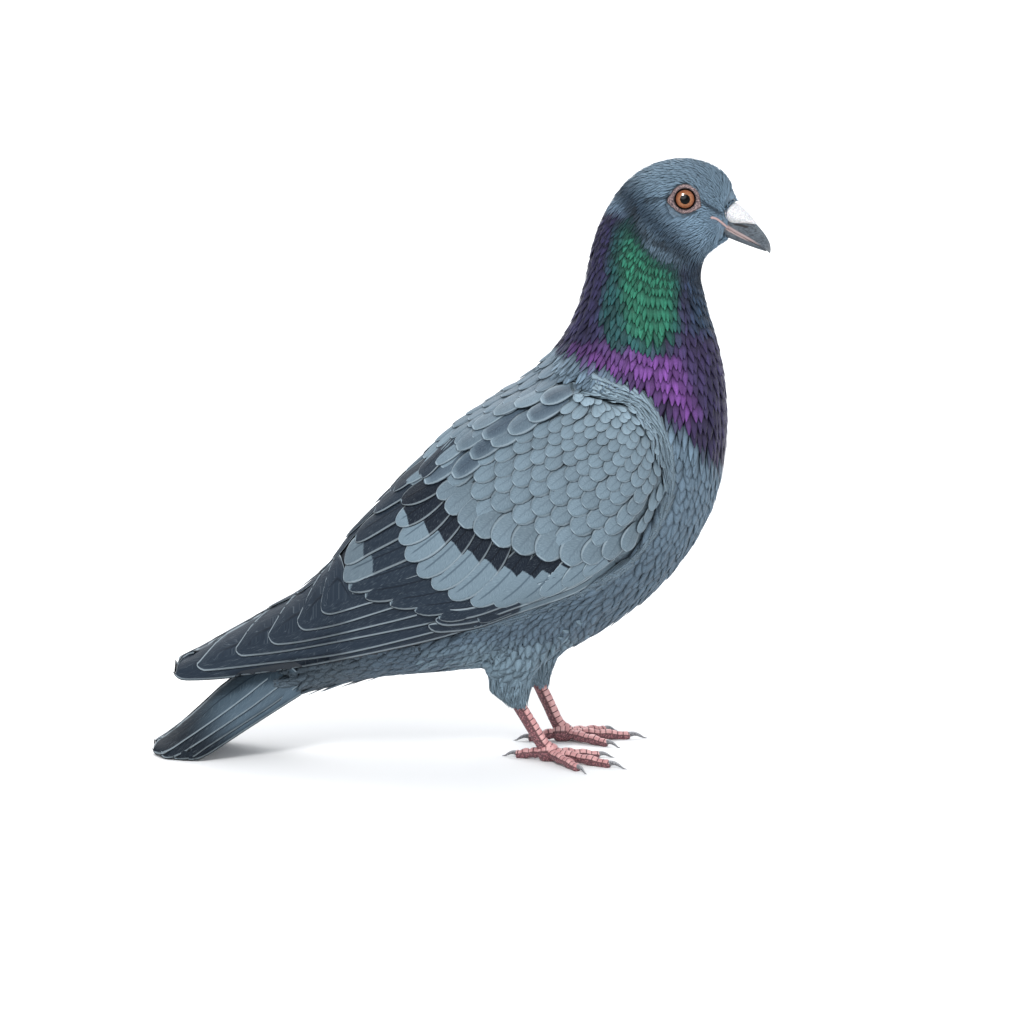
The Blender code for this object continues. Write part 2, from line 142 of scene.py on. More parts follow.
def catmull(rows, count):
    """count points along a smooth curve through the rows, evenly spaced in the rows' own parameter."""
    rows = np.array(rows, float)
    rows = np.vstack([2 * rows[0] - rows[1], rows, 2 * rows[-1] - rows[-2]])
    where = np.linspace(0, len(rows) - 3, count)
    i = np.minimum(where.astype(int), len(rows) - 4)
    t = (where - i)[:, None]
    a, b, c, d = rows[i], rows[i + 1], rows[i + 2], rows[i + 3]
    return b + 0.5 * t * (c - a) + t**2 * (a - 2.5 * b + 2 * c - 0.5 * d) + 0.5 * t**3 * (3 * (b - c) + d - a)


def inside(polygon, x, y, soft):
    """About 1 inside the polygon and 0 outside, changing over soft on each side of its edge."""
    polygon = np.array(polygon, float)
    distance = np.full(x.shape, 1e9)
    crossing = np.zeros(x.shape, bool)
    for (ax, ay), (bx, by) in zip(polygon, np.roll(polygon, -1, 0)):
        distance = np.minimum(distance, from_segment(x, y, (ax, ay), (bx, by)))
        between = (ay > y) != (by > y)
        crossing ^= between & (x < ax + (y - ay) / (by - ay + 1e-12) * (bx - ax))
    return smooth(np.where(crossing, distance, -distance), -soft, soft)


def make_mesh(name, verts, faces, uvs=None, attributes=None):
    """A smooth-shaded object from arrays. faces is a list of index arrays, each of one face size."""
    mesh = bpy.data.meshes.new(name)
    mesh.vertices.add(len(verts))
    mesh.vertices.foreach_set("co", np.asarray(verts, np.float32).ravel())
    loops = np.concatenate([f.ravel() for f in faces]).astype(np.int32)
    sizes = np.concatenate([np.full(len(f), f.shape[1]) for f in faces])
    starts = np.concatenate([[0], np.cumsum(sizes)[:-1]]).astype(np.int32)
    mesh.loops.add(len(loops))
    mesh.loops.foreach_set("vertex_index", loops)
    mesh.polygons.add(len(sizes))
    mesh.polygons.foreach_set("loop_start", starts)
    mesh.update(calc_edges=True)
    if uvs is not None:
        layer = mesh.uv_layers.new(name="OFBake")
        layer.data.foreach_set("uv", np.asarray(uvs, np.float32)[loops].ravel())
    for key, values in (attributes or {}).items():
        values = np.asarray(values, np.float32)
        if key in ("tint", "bar", "end"):
            values = np.hstack([values, np.ones((len(values), 1), np.float32)])
            mesh.attributes.new(key, "FLOAT_COLOR", "POINT").data.foreach_set("color", values.ravel())
        else:
            mesh.attributes.new(key, "FLOAT_VECTOR", "POINT").data.foreach_set("vector", values.ravel())
    mesh.shade_smooth()
    obj = bpy.data.objects.new(name, mesh)
    bpy.context.scene.collection.objects.link(obj)
    return obj


class Surface:
    """A closed surface that feathers are laid on."""

    def __init__(self, verts, faces):
        self.verts, self.faces = verts, faces
        corner = verts[faces]
        flat = np.cross(corner[:, 2] - corner[:, 0], corner[:, -1] - corner[:, 1])
        normals = np.zeros_like(verts)
        for k in range(faces.shape[1]):
            for axis in range(3):
                normals[:, axis] += np.bincount(faces[:, k], flat[:, axis], len(verts))
        self.vert_normals = unit(normals)
        self.normals = unit(self.vert_normals[faces].sum(1))
        self.tree = BVHTree.FromPolygons(verts.tolist(), faces.tolist())

    def nearest(self, points):
        """Nearest points on the surface, in metres, and its normals there."""
        found = np.empty_like(points)
        index = np.empty(len(points), int)
        look = self.tree.find_nearest
        for i, point in enumerate(points.tolist()):
            place, _, face, _ = look(point)
            found[i] = place
            index[i] = face
        return found, self.normals[index]

    def cast(self, starts, ways):
        """Where rays meet the surface, or nan. ways may be one way for all."""
        found = np.full(starts.shape, np.nan)
        ways = np.broadcast_to(np.asarray(ways, float), starts.shape)
        look = self.tree.ray_cast
        for i, (start, way) in enumerate(zip(starts.tolist(), ways.tolist())):
            place = look(start, way)[0]
            if place is not None:
                found[i] = place
        return found


def node_arrays(names):
    """Vertices, triangles and each triangle's node number, of some solids together."""
    verts, tris, owners, count = [], [], [], 0
    for number, name in enumerate(names):
        mesh = NODES[name].data
        mesh.calc_loop_triangles()
        co = np.empty(len(mesh.vertices) * 3)
        mesh.vertices.foreach_get("co", co)
        tri = np.empty(len(mesh.loop_triangles) * 3, int)
        mesh.loop_triangles.foreach_get("vertices", tri)
        verts.append(co.reshape(-1, 3))
        tris.append(tri.reshape(-1, 3) + count)
        owners.append(np.full(len(tri) // 3, number))
        count += len(verts[-1])
    return np.concatenate(verts), np.concatenate(tris), np.concatenate(owners)


def remeshed(verts, faces, voxel):
    """One closed skin round everything, as vertices, quads and edges."""
    obj = make_mesh("remesh", verts, [faces])
    modifier = obj.modifiers.new("remesh", "REMESH")
    modifier.mode = "VOXEL"
    modifier.voxel_size = voxel
    data = bpy.data.meshes.new_from_object(obj.evaluated_get(bpy.context.evaluated_depsgraph_get()))
    bpy.data.objects.remove(obj)
    co = np.empty(len(data.vertices) * 3)
    data.vertices.foreach_get("co", co)
    quads = np.empty(len(data.loops), int)
    data.loops.foreach_get("vertex_index", quads)
    edges = np.empty(len(data.edges) * 2, int)
    data.edges.foreach_get("vertices", edges)
    bpy.data.meshes.remove(data)
    return co.reshape(-1, 3), quads.reshape(-1, 4), edges.reshape(-1, 2)


def relaxed(values, edges, rounds, weight=0.5, back=-0.52):
    """Values smoothed along the edges. A step back after each undoes the shrinking, unless back is 0."""
    count = np.bincount(edges.ravel(), minlength=len(values))[:, None]
    for _ in range(rounds):
        for step in (weight, back):
            total = np.zeros_like(values)
            for axis in range(values.shape[1]):
                total[:, axis] = np.bincount(edges[:, 0], values[edges[:, 1], axis], len(values))
                total[:, axis] += np.bincount(edges[:, 1], values[edges[:, 0], axis], len(values))
            values = values + step * (total / np.maximum(count, 1) - values)
    return values


# ---------------------------------------------------------------- colours
CROWN, CHEEK, THROAT = (0.150, 0.224, 0.292), (0.176, 0.267, 0.357), (0.017, 0.035, 0.058)
NAPE = (0.055, 0.086, 0.140)
GREEN, GREEN_DARK = (0.0095, 0.0745, 0.0455), (0.0065, 0.0345, 0.0365)
PURPLE, PURPLE_DARK, MAGENTA = (0.020, 0.0130, 0.0430), (0.014, 0.012, 0.038), (0.087, 0.027, 0.134)
FRONT_BLUE = (0.0115, 0.0245, 0.0460)
BREAST, BELLY, FLANK = (0.104, 0.155, 0.204), (0.080, 0.120, 0.160), (0.080, 0.118, 0.157)
BACK, RUMP, UNDERTAIL = (0.118, 0.166, 0.207), (0.180, 0.230, 0.270), (0.070, 0.096, 0.120)
THIGH = (0.144, 0.208, 0.256)
COVERT, SHOULDER, COVERT_TIP = (0.132, 0.186, 0.226), (0.262, 0.356, 0.420), (0.142, 0.197, 0.237)
BAR, FLIGHT, FLIGHT_TIP = (0.0062, 0.0108, 0.0192), (0.0148, 0.0238, 0.0370), (0.108, 0.147, 0.176)
TAIL_GREY, TAIL_END = (0.069, 0.103, 0.134), (0.0080, 0.0130, 0.0200)

# side-view outlines: x, and the height in the picture over the cosine of the camera's elevation
GREEN_PATCH = [
    (65.3, 212), (68.3, 206.6), (72.1, 198.8), (77, 195), (84.2, 192), (85.5, 185), (84.5, 175), (86, 165),
    (80, 158), (75, 156), (66, 158), (57, 159.5), (53, 170), (54, 178), (56, 186.5), (57, 198), (59.5, 209),
]
GREEN_HEART = [
    (64, 206), (70, 198), (82, 188), (83, 172), (80, 162), (72, 160), (64, 166), (62, 180), (61, 196),
]
BLUE_FRONT = [(85, 193), (92, 199), (112, 194), (112, 166), (98, 165), (90, 165), (87, 180)]
MAGENTA_PATCHES = (
    [(62, 158), (72, 157), (84, 155), (87, 146), (92, 133), (88, 128), (78, 137), (66, 146)],
    [(41, 160), (54, 159), (65, 151), (60, 147), (47, 152)],
)
# painted shade in the face's creases: from, to, width
CREASES = (
    ((80.3, 219.0), (71.0, 218.4), 0.9),
    ((93.6, 217.5), (101.3, 212.8), 0.9),
    ((67.2, 215.0), (66.1, 211.6), 1.3),
    ((66.1, 211.6), (68.3, 206.6), 1.5),
    ((68.3, 206.6), (72.5, 203.5), 1.5),
    ((72.5, 203.5), (79.5, 200.0), 1.2),
)


def purple_edge(x):
    """The height in the picture at which the neck's sheen ends, above the breast."""
    stops = (30, 40, 46, 54, 62.2, 72.3, 83.8, 93.9, 101)
    return np.interp(x, stops, (161, 156.5, 152.5, 149.4, 144.5, 136.3, 126, 115.7, 110.5))


def below_head(x, seen):
    """How far a place of the side view is below the line where the head's grey ends, in millimetres."""
    return np.interp(x, (50, 66, 72, 77, 84, 95), (216, 211, 199, 195, 192, 194)) - seen


def crease_shade(x, y):
    """How much painted shade the face's creases put on each place, from 0 to 1."""
    dark = np.zeros(x.shape)
    for start, end, width in CREASES:
        dark = np.maximum(dark, smooth(from_segment(x, y, start, end), width * 1.5, width * 0.3))
    return dark


def body_tint(points):
    """Colour of the head, neck and body plumage at points given in the bird's millimetres."""
    x, y, z = points.T
    seen, count = z - NEARNESS * np.abs(y), len(x)
    below = below_head(x, seen)
    colour = layered(
        CHEEK, count, (CROWN, smooth(seen, 208, 228)),
        (THROAT, smooth(x + 0.9 * seen, 279, 261) * smooth(x + seen, 272, 284)),
        (NAPE, smooth(x, 72, 60) * smooth(seen, 222, 208)),
        # painted shade along the face's creases
        (np.array(THROAT) * 0.45, crease_shade(x, seen) * 0.75),
    )
    # painted shade: a dark band under the cheek
    colour = colour * (1 - 0.45 * smooth(below, -10, -5) * smooth(x, 61, 66) * smooth(x, 90, 84))[:, None]
    # below the head: purple with a green patch, a blue front and magenta on the breast's side
    sheen = layered(
        PURPLE, count, (PURPLE_DARK, smooth(x - 0.35 * (seen - 150), 58, 46)),
        (PURPLE_DARK, smooth(x, 92, 98) * 0.6),
        *[(MAGENTA, inside(patch, x, seen, 4) * 0.85) for patch in MAGENTA_PATCHES],
        (FRONT_BLUE, inside(BLUE_FRONT, x, seen, 4)),
    )
    for shade, amount in (
        (sheen, smooth(below, -2.5, 2.5)),
        (GREEN_DARK, inside(GREEN_PATCH, x, seen, 2.0)),
        (GREEN, inside(GREEN_HEART, x, seen, 3.5)),
    ):
        colour = blend(colour, shade, amount)
    # the back is paler than the underside: judged across the line from shoulder to tail
    top = smooth(z - (158 + 0.93 * (x - 33)), -16, -4) * smooth(x, 62, 50)
    body = layered(
        BREAST, count, (BELLY, smooth(seen, 110, 60)), (FLANK, smooth(x, 5, -25)),
        (UNDERTAIL, smooth(x, -25, -50)),
        (THIGH, smooth(seen, 46, 36) * smooth(np.abs(x - 20), 24, 14)), (BACK, top),
        (RUMP, top * smooth(x, -15, -35)),
    )
    return blend(colour, body, smooth(seen - purple_edge(x), 3.0, -3.5))


def wing_tint(points):
    x, y, z = points.T
    seen = z - NEARNESS * np.abs(y)
    pale, dark = smooth(seen + 0.35 * x, 138, 168), smooth(x + 0.75 * seen, 45, 38)
    return layered(COVERT, len(x), (SHOULDER, pale), (FLIGHT, dark))


# ---------------------------------------------------------------- materials
class Nodes:
    """Short names for building a node tree."""

    def __init__(self, name, **principled):
        self.material = bpy.data.materials.new(name)
        self.material.use_nodes = True
        self.tree = self.material.node_tree
        self.shader = self.tree.nodes["Principled BSDF"]
        for key, value in principled.items():
            self.shader.inputs[key.replace("_", " ")].default_value = value

    def add(self, kind, **settings):
        node = self.tree.nodes.new("ShaderNode" + kind)
        for key, value in settings.items():
            setattr(node, key, value)
        return node

    def put(self, socket, value):
        if isinstance(value, bpy.types.NodeSocket):
            self.tree.links.new(value, socket)
        else:
            socket.default_value = value

    def math(self, operation, *values):
        node = self.add("Math", operation=operation)
        for socket, value in zip(node.inputs, values):
            self.put(socket, value)
        return node.outputs[0]

    def times(self, a, b):
        return self.math("MULTIPLY", a, b)

    def plus(self, a, b):
        return self.math("ADD", a, b)

    def minus(self, a, b):
        return self.math("SUBTRACT", a, b)

    def range(self, value, low, high, to_low=0.0, to_high=1.0):
        node = self.add("MapRange", interpolation_type="SMOOTHSTEP")
        for socket, given in zip(node.inputs, (value, low, high, to_low, to_high)):
            self.put(socket, given)
        return node.outputs[0]

    def mix(self, factor, a, b, kind="MIX"):
        node = self.add("Mix", data_type="RGBA", blend_type=kind)
        self.put(node.inputs[0], factor)
        for socket, value in ((node.inputs[6], a), (node.inputs[7], b)):
            self.put(socket, value if isinstance(value, bpy.types.NodeSocket) else (*value, 1.0))
        return node.outputs[2]

    def attribute(self, name, output):
        node = self.add("Attribute", attribute_name=name)
        return node.outputs[output]

    def parts(self, name="vane"):
        """The three numbers that a mesh attribute holds."""
        node = self.add("SeparateXYZ")
        self.put(node.inputs[0], self.attribute(name, "Vector"))
        return node.outputs

    def cells(self, scale):
        node = self.add("TexVoronoi")
        self.put(node.inputs["Vector"], self.add("TexCoord").outputs["Object"])
        self.put(node.inputs["Scale"], scale)
        return node.outputs["Distance"]

    def noise(self, scale, detail=2.0, vector=None):
        node = self.add("TexNoise")
        self.put(node.inputs["Scale"], scale)
        self.put(node.inputs["Detail"], detail)
        if vector is None:
            vector = self.add("TexCoord").outputs["Object"]
        self.put(node.inputs["Vector"], vector)
        return node.outputs[0]

    def finish(self, colour, height=None, distance=0.0001, strength=0.6):
        self.put(self.shader.inputs["Base Color"], colour)
        if height is not None:
            bump = self.add("Bump")
            self.put(bump.inputs["Strength"], strength)
            self.put(bump.inputs["Distance"], distance)
            self.put(bump.inputs["Height"], height)
            self.put(self.shader.inputs["Normal"], bump.outputs[0])
        return self.material


def feather_material(
    name, rim=0.25, edge=0.5, shaft=0.4, barbs=0.25, barb_count=26.0, relief=0.00015, pale=None,
    tip_at=0.84, rim_at=0.74, barred=False, spread=0.06, **principled,
):
    """Vane: u from root to tip, v across from -1 to 1, w random for each feather. A barred one changes
    colour at the two places along it that its marks give."""
    m = Nodes(name, **principled)
    u, v, chance = m.parts()
    across = m.math("ABSOLUTE", v)
    outer = m.math("MAXIMUM", across, m.range(u, tip_at, 1.0))
    slant = m.plus(m.times(u, barb_count), m.times(across, -0.22 * barb_count))
    slant = m.plus(slant, m.times(chance, 40.0))
    comb = m.add("CombineXYZ")
    m.put(comb.inputs[0], slant)
    m.put(comb.inputs[1], m.times(v, 1.6))
    strands = m.noise(3.0, 2.0, comb.outputs[0])
    colour = m.attribute("tint", "Color")
    if barred:
        bar_start, end_start, _ = m.parts("marks")
        ragged = m.plus(u, m.times(m.minus(strands, 0.5), 0.05))
        ragged = m.minus(ragged, m.times(across, 0.03))
        for key, start in (("bar", bar_start), ("end", end_start)):
            there = m.range(m.minus(ragged, start), -0.006, 0.006)
            colour = m.mix(there, colour, m.attribute(key, "Color"))
    darker = m.mix(1.0, colour, (0.30, 0.33, 0.38), "MULTIPLY")
    lighter = m.mix(1.0, colour, pale, "MULTIPLY") if pale else m.mix(0.42, colour, (0.52, 0.62, 0.68))
    colour = m.mix(m.times(m.range(strands, 0.52, 0.30), barbs), colour, darker)
    colour = m.mix(m.times(m.range(strands, 0.55, 0.78), barbs), colour, lighter)
    band = m.times(m.range(outer, rim_at, rim_at + 0.1), m.range(outer, 0.975, 0.91))
    colour = m.mix(m.times(band, rim), colour, lighter)
    # painted shade: a dark line along each feather's edge, where it meets the feather beneath
    colour = m.mix(m.times(m.range(outer, 0.93, 1.0), edge), colour, darker)
    line = m.times(m.range(across, 0.09, 0.02), m.range(u, 0.94, 0.84))
    colour = m.mix(m.times(line, shaft), colour, darker)
    shade = m.range(chance, 0.0, 1.0, 1.0 - spread, 1.0 + spread)
    tone = m.add("CombineXYZ")
    for socket in tone.inputs:
        m.put(socket, shade)
    colour = m.mix(1.0, colour, tone.outputs[0], "MULTIPLY")
    height = m.plus(strands, m.times(line, 0.6))
    return m.finish(colour, height, relief, 0.5)


# ---------------------------------------------------------------- feathers
def scale_shape(s):
    rise = np.sin(np.pi / 2 * np.clip(s / 0.6, 0, 1)) ** 0.7
    return np.where(s < 0.6, 0.25 + 0.75 * rise, np.sqrt(np.clip(1 - ((s - 0.6) / 0.4) ** 2, 0.002, 1)))


def lance_shape(s):
    rise = np.sin(np.pi / 2 * np.clip(s / 0.5, 0, 1)) ** 0.7
    return np.where(s < 0.5, 0.3 + 0.7 * rise, np.clip(1 - ((s - 0.5) / 0.5) ** 1.5, 0.03, 1))


def strand_shape(s):
    return np.clip((0.5 + 0.5 * np.sin(np.pi / 2 * np.clip(s / 0.35, 0, 1))) * (1 - s**2.6), 0.04, 1)


def soft_shape(s):
    rise = np.sin(np.pi / 2 * np.clip(s / 0.5, 0, 1)) ** 0.7
    return np.where(s < 0.5, 0.35 + 0.65 * rise, np.clip(1 - ((s - 0.5) / 0.5) ** 2, 0.01, 1) ** 0.75)


def blade_shape(s):
    return np.where(
        s < 0.8, 0.55 + 0.45 * smooth(s, 0.0, 0.3), np.sqrt(np.clip(1 - ((s - 0.8) / 0.2) ** 2.4, 0.004, 1))
    )


def row_places(rows):
    """Places from 0 to 1 along a feather, closer together towards its tip."""
    return 1 - (1 - np.linspace(0, 1, rows + 1)) ** 1.6


def vanes(
    surface, root, way, length, width, shape, rows, cols, sink, lift, camber=0.05, roll=0.0, bend=0.0,
    curl=1.6, skew=0.0,
):
    """Closed thin feathers that hug a surface: points (n, rows + 1, cols + 1, 3), from sizes in millimetres.

    A feather starts sink under the surface and ends lift over it; roll raises its v = 1 side,
    camber its middle, bend turns it by that many radians on its way, and skew = 1 keeps its v = 1
    edge straight where it tapers.
    """
    count = len(root)
    s, v = row_places(rows), np.linspace(-1, 1, cols + 1)
    steps = np.diff(s)
    length, width = np.broadcast_to(length, count) * MM, np.broadcast_to(width, count) * MM
    sink, lift = np.broadcast_to(sink, count), np.broadcast_to(lift, count)
    roll, bend = np.broadcast_to(roll, count), np.broadcast_to(bend, count)
    centre, normal, ahead = (np.empty((count, rows + 1, 3)) for _ in range(3))
    point, up = surface.nearest(root)
    way = unit(way - up * dot(way, up)[:, None])
    for k in range(rows + 1):
        centre[:, k], normal[:, k], ahead[:, k] = point, up, way
        if k < rows:
            way = unit(way + np.cross(up, way) * (bend * steps[k])[:, None])
            point, up = surface.nearest(point + way * (length * steps[k])[:, None])
            way = unit(way - up * dot(way, up)[:, None])
    side = np.cross(normal, ahead)
    half = width[:, None] / 2 * shape(s)[None]
    centre = centre + side * (skew * (width[:, None] / 2 - half) * (s > 0.5))[..., None]
    grid = centre[:, :, None] + side[:, :, None] * (half[:, :, None] * v)[..., None]
    place, up = surface.nearest(grid.reshape(-1, 3))
    place, up = place.reshape(grid.shape), up.reshape(grid.shape)
    height = -sink[:, None] * (1 - s) ** 1.4 + lift[:, None] * s**curl
    height = height[:, :, None] + roll[:, None, None] * v * np.minimum(shape(s), 1)[None, :, None]
    height = height * MM + camber * half[:, :, None] * (1 - v**2)
    points = place + up * height[..., None]
    # over a hollow in the surface a vane stays above the chord between its sides
    chord = points[:, :, :1] + (points[:, :, -1:] - points[:, :, :1]) * ((1 + v) / 2)[:, None]
    hollow = 0.03 * half[:, :, None] * (1 - v**2) - dot(points - chord, up)
    return points + up * np.maximum(hollow, 0)[..., None]


def plumage(name, groups, material):
    """One object from groups of feathers, each a dict with points, tint, root_uv and patch."""
    verts, tints, places, uvs, quads, tris, count = [], [], [], [], [], [], 0
    extra = {key: [] for key in ("bar", "end", "marks") if key in groups[0]}
    for group in groups:
        points = group["points"]
        n, r, c = points.shape[0], points.shape[1] - 1, points.shape[2] - 1
        if not n:
            continue
        index = (np.arange(n)[:, None, None] * (r + 1) + np.arange(r + 1)[None, :, None]) * (c + 1)
        index = index + np.arange(c + 1) + count
        top = together(index[:, :-1, :-1], index[:, 1:, :-1], index[:, 1:, 1:], index[:, :-1, 1:])
        under = together(index[:, :-1, 0], index[:, :-1, -1], index[:, 1:, -1], index[:, 1:, 0])
        quads += [top.reshape(-1, 4), under.reshape(-1, 4)]
        for row in (index[:, 0], index[:, -1, ::-1]):
            j = 1
            while j + 1 < c:
                quads.append(together(row[:, 0], row[:, j], row[:, j + 1], row[:, j + 2]))
                j += 2
            if j < c:
                tris.append(together(row[:, 0], row[:, j], row[:, j + 1]))
        u = np.broadcast_to(row_places(r)[None, :, None], points.shape[:3])
        v = np.broadcast_to(group.get("across", np.linspace(-1, 1, c + 1)), points.shape[:3])
        chance = np.broadcast_to(rng.random(n)[:, None, None], points.shape[:3])
        tint = group["tint"]
        if tint.ndim == 2:
            tint = np.broadcast_to(tint[:, None, None], (*points.shape[:3], 3))
        verts.append(points.reshape(-1, 3))
        tints.append(tint.reshape(-1, 3))
        for key, values in extra.items():
            values.append(np.broadcast_to(group[key][:, None, None], (*points.shape[:3], 3)).reshape(-1, 3))
        places.append(together(u, v, chance).reshape(-1, 3))
        patch = np.broadcast_to(group.get("patch", (TUFT_PATCH, TUFT_PATCH)), (n, 2))[:, None, None]
        local = together(v * 0.5, u - 0.5) * patch
        uvs.append((group["root_uv"][:, None, None] + local).reshape(-1, 2))
        count += points[..., 0].size
    faces = [np.concatenate(quads)] + ([np.concatenate(tris)] if tris else [])
    obj = make_mesh(
        name,
        np.concatenate(verts),
        faces,
        np.clip(np.concatenate(uvs), 0.001, 0.999),
        {"tint": np.concatenate(tints), "vane": np.concatenate(places)}
        | {key: np.concatenate(values) for key, values in extra.items()},
    )
    obj.data.materials.append(material)
    return obj


# ---------------------------------------------------------------- the skin
# the folded wings' upper edges: x, y, z
UPPER_EDGE = np.array([
    (44, 12, 149.5), (31, 8, 150.5), (15, 4.5, 142), (-2, 2, 130.5), (-19, 1.2, 113.5), (-32, 1.2, 99.5),
    (-43, 1.2, 87.2), (-51, 1.4, 75), (-63, 1.6, 64), (-80, 2, 54), (-97, 2.4, 44.3),
], float)


def surface_of(*parts, voxel=0.0012, rounds=9):
    """A smooth surface round (vertices, triangles) parts, and its edges."""
    verts, tris, count = [], [], 0
    for points, faces in parts:
        verts.append(points)
        tris.append(faces + count)
        count += len(points)
    points, quads, edges = remeshed(np.concatenate(verts), np.concatenate(tris), voxel)
    return Surface(relaxed(points, edges, rounds), quads), edges


def saddle():
    """A strip that bridges the narrow seam between the folded wings, so that the back has one surface."""
    line = catmull(UPPER_EDGE, 73)
    turns = np.linspace(-1, 1, 9)
    ring = []
    for x, y, z in line:
        across = turns * (y + 2.4)
        arch = z + 0.3 - 1.5 * turns**2
        ring.append(together(x + 0 * across, across, arch))
    top = np.array(ring)
    low = top - (0, 0, 3.0)
    grid = np.concatenate([top, low[:, ::-1]], 1)
    n, m = grid.shape[:2]
    index = np.arange(n * m).reshape(n, m)
    ahead = np.roll(index, -1, 1)
    sides = together(index[:-1], index[1:], ahead[1:], ahead[:-1]).reshape(-1, 4)
    ends = [together(e[:8], e[1:9], e[16:8:-1], e[17:9:-1]) for e in (index[0], index[-1])]
    quads = np.concatenate([sides, ends[0], ends[1][:, ::-1]])
    return to_row(grid.reshape(-1, 3)), np.concatenate([quads[:, :3], quads[:, [0, 2, 3]]])


HULL, hull_edges = surface_of(
    node_arrays(PLUMED + ["eye_right", "eye_left", "eyelid_right", "eyelid_left"])[:2], saddle()
)
LEG_PARTS = ["thigh_right", "thigh_left", "shank_right", "shank_left"]
LEGS, _ = surface_of(node_arrays(LEG_PARTS)[:2], voxel=0.0009, rounds=5)
TAIL_ONLY, _ = surface_of(node_arrays(["tail"])[:2], voxel=0.001, rounds=6)
cad_verts, cad_tris, cad_owner = node_arrays(sorted(NODES))
CAD_TREE = BVHTree.FromPolygons(cad_verts.tolist(), cad_tris.tolist())
CAD_NAMES = np.array([name.removesuffix("_right").removesuffix("_left") for name in sorted(NODES)])


def owners(points):
    """The name of the solid, without its side, that is nearest to each point."""
    found = [CAD_TREE.find_nearest(p)[2] for p in points.tolist()]
    return CAD_NAMES[cad_owner[found]]


# how far the skin lies inside the solids, in millimetres, and the most of a part's thickness it may take
COAT_DEPTHS = {"head": 0.8, "neck": 1.3, "wing": 1.3, "primaries": 0.9, "tail": 0.9, "thigh": 0.9}
BODY_COAT, MOST_OF_THICKNESS = 1.6, 0.3


def build_skin():
    verts, normals = HULL.verts, HULL.vert_normals
    through = HULL.cast(verts - normals * 2e-4, -normals)
    thick = np.nan_to_num(np.linalg.norm(through - verts, axis=1), nan=0.01)
    own = owners(verts)
    depth = np.full(len(verts), BODY_COAT)
    for name, value in COAT_DEPTHS.items():
        depth[own == name] = value
    depth = np.minimum(depth * MM, MOST_OF_THICKNESS * thick)
    depth = relaxed(depth[:, None], hull_edges, 6, 0.5, 0.0)
    inner = relaxed(verts - normals * depth, hull_edges, 2)
    bird = to_bird(verts)
    for parts, start, keep, slope in ((("wing", "primaries"), -94, 0.55, 0.05), (("tail",), -106, 0.6, 0.62)):
        back = np.where(np.isin(own, parts), np.maximum(start - bird[:, 0], 0), 0) * keep * MM
        inner = inner + back[:, None] * (1, 0, slope)
    tint = np.where(np.isin(own, ("wing", "primaries"))[:, None], wing_tint(bird), body_tint(bird))
    for name, colour in (("primaries", FLIGHT), ("tail", TAIL_GREY), ("thigh", THIGH)):
        tint[own == name] = colour
    tint = relaxed(tint, hull_edges, 3, 0.5, 0.0)
    skin = make_mesh("skin", inner, [HULL.faces], attributes={"tint": tint * 0.8})
    m = Nodes("skin_plumage", Roughness=0.75)
    grain = m.noise(900.0, 3.0)
    colour = m.mix(m.range(grain, 0.35, 0.65, 0.0, 0.5), m.attribute("tint", "Color"), (0.02, 0.025, 0.03))
    skin.data.materials.append(m.finish(colour, grain, 0.0002))
    return skin


# ---------------------------------------------------------------- lattice along the bird
SPINE_ROWS = 8
spine = catmull(SPINE, LAST_STATION * SPINE_ROWS + 1)


def meridians(columns):
    """Points of the hull, (columns, rows, 3), on lines from bill to tail at even turns round the spine."""
    turn = (np.arange(columns) + 0.5) / columns * 2 * np.pi
    lean = np.radians(spine[:, 2])
    up = together(-np.sin(lean), 0 * lean, np.cos(lean))
    ways = np.cos(turn)[:, None, None] * up + np.sin(turn)[:, None, None] * np.array([0, 1.0, 0])
    starts = np.broadcast_to(to_row(together(spine[:, 0], 0 * lean, spine[:, 1])), ways.shape)
    hits = HULL.cast(starts.reshape(-1, 3), ways.reshape(-1, 3)).reshape(ways.shape)
    return turn, hits


def tract(columns, pitch, first, last):
    """Roots and ways of feathers in a lattice between two spine stations; pitch is the step along it, in
    millimetres, for a station."""
    turn, hits = meridians(columns)
    station = np.linspace(0, LAST_STATION, len(spine))
    roots, ways, uvs, stations = [], [], [], []
    for j in range(columns):
        line = hits[j]
        good = ~np.isnan(line[:, 0])
        line, s = line[good], station[good]
        run = np.linalg.norm(np.diff(line, axis=0), axis=1) / MM
        beat = np.concatenate([[0], np.cumsum(run / pitch(s[1:]))])
        marks = np.arange(0.5 * (j % 2), beat[-1], 1.0)
        marks = marks + rng.uniform(-0.12, 0.12, len(marks))
        place = np.stack([np.interp(marks, beat, line[:, k]) for k in range(3)], -1)
        ahead = np.stack([np.interp(marks + 0.4, beat, line[:, k]) for k in range(3)], -1)
        at = np.interp(marks, beat, s)
        keep = (at >= first) & (at <= last) & (np.linalg.norm(ahead - place, axis=1) > 1e-6)
        roots.append(place[keep])
        ways.append((ahead - place)[keep])
        stations.append(at[keep])
        uvs.append(together(np.full(keep.sum(), turn[j] / 2 / np.pi), 0.02 + 0.96 * at[keep] / LAST_STATION))
    return np.concatenate(roots), unit(np.concatenate(ways)), np.concatenate(stations), np.concatenate(uvs)


def jitter(values, amount):
    return values * rng.uniform(1 - amount, 1 + amount, np.shape(values))


def from_eye(points):
    """Distance in millimetres from the nearer eye's middle, seen from the side, and the way towards it."""
    bird = to_bird(points)
    aside = together(EYE[0] - bird[:, 0], 0 * bird[:, 0], EYE[2] - bird[:, 2])
    return np.linalg.norm(aside, axis=1), unit(aside)


def seen_height(bird):
    """The height in the picture, over the cosine of its elevation, of points in the bird's millimetres."""
    return bird[:, 2] - NEARNESS * np.abs(bird[:, 1])


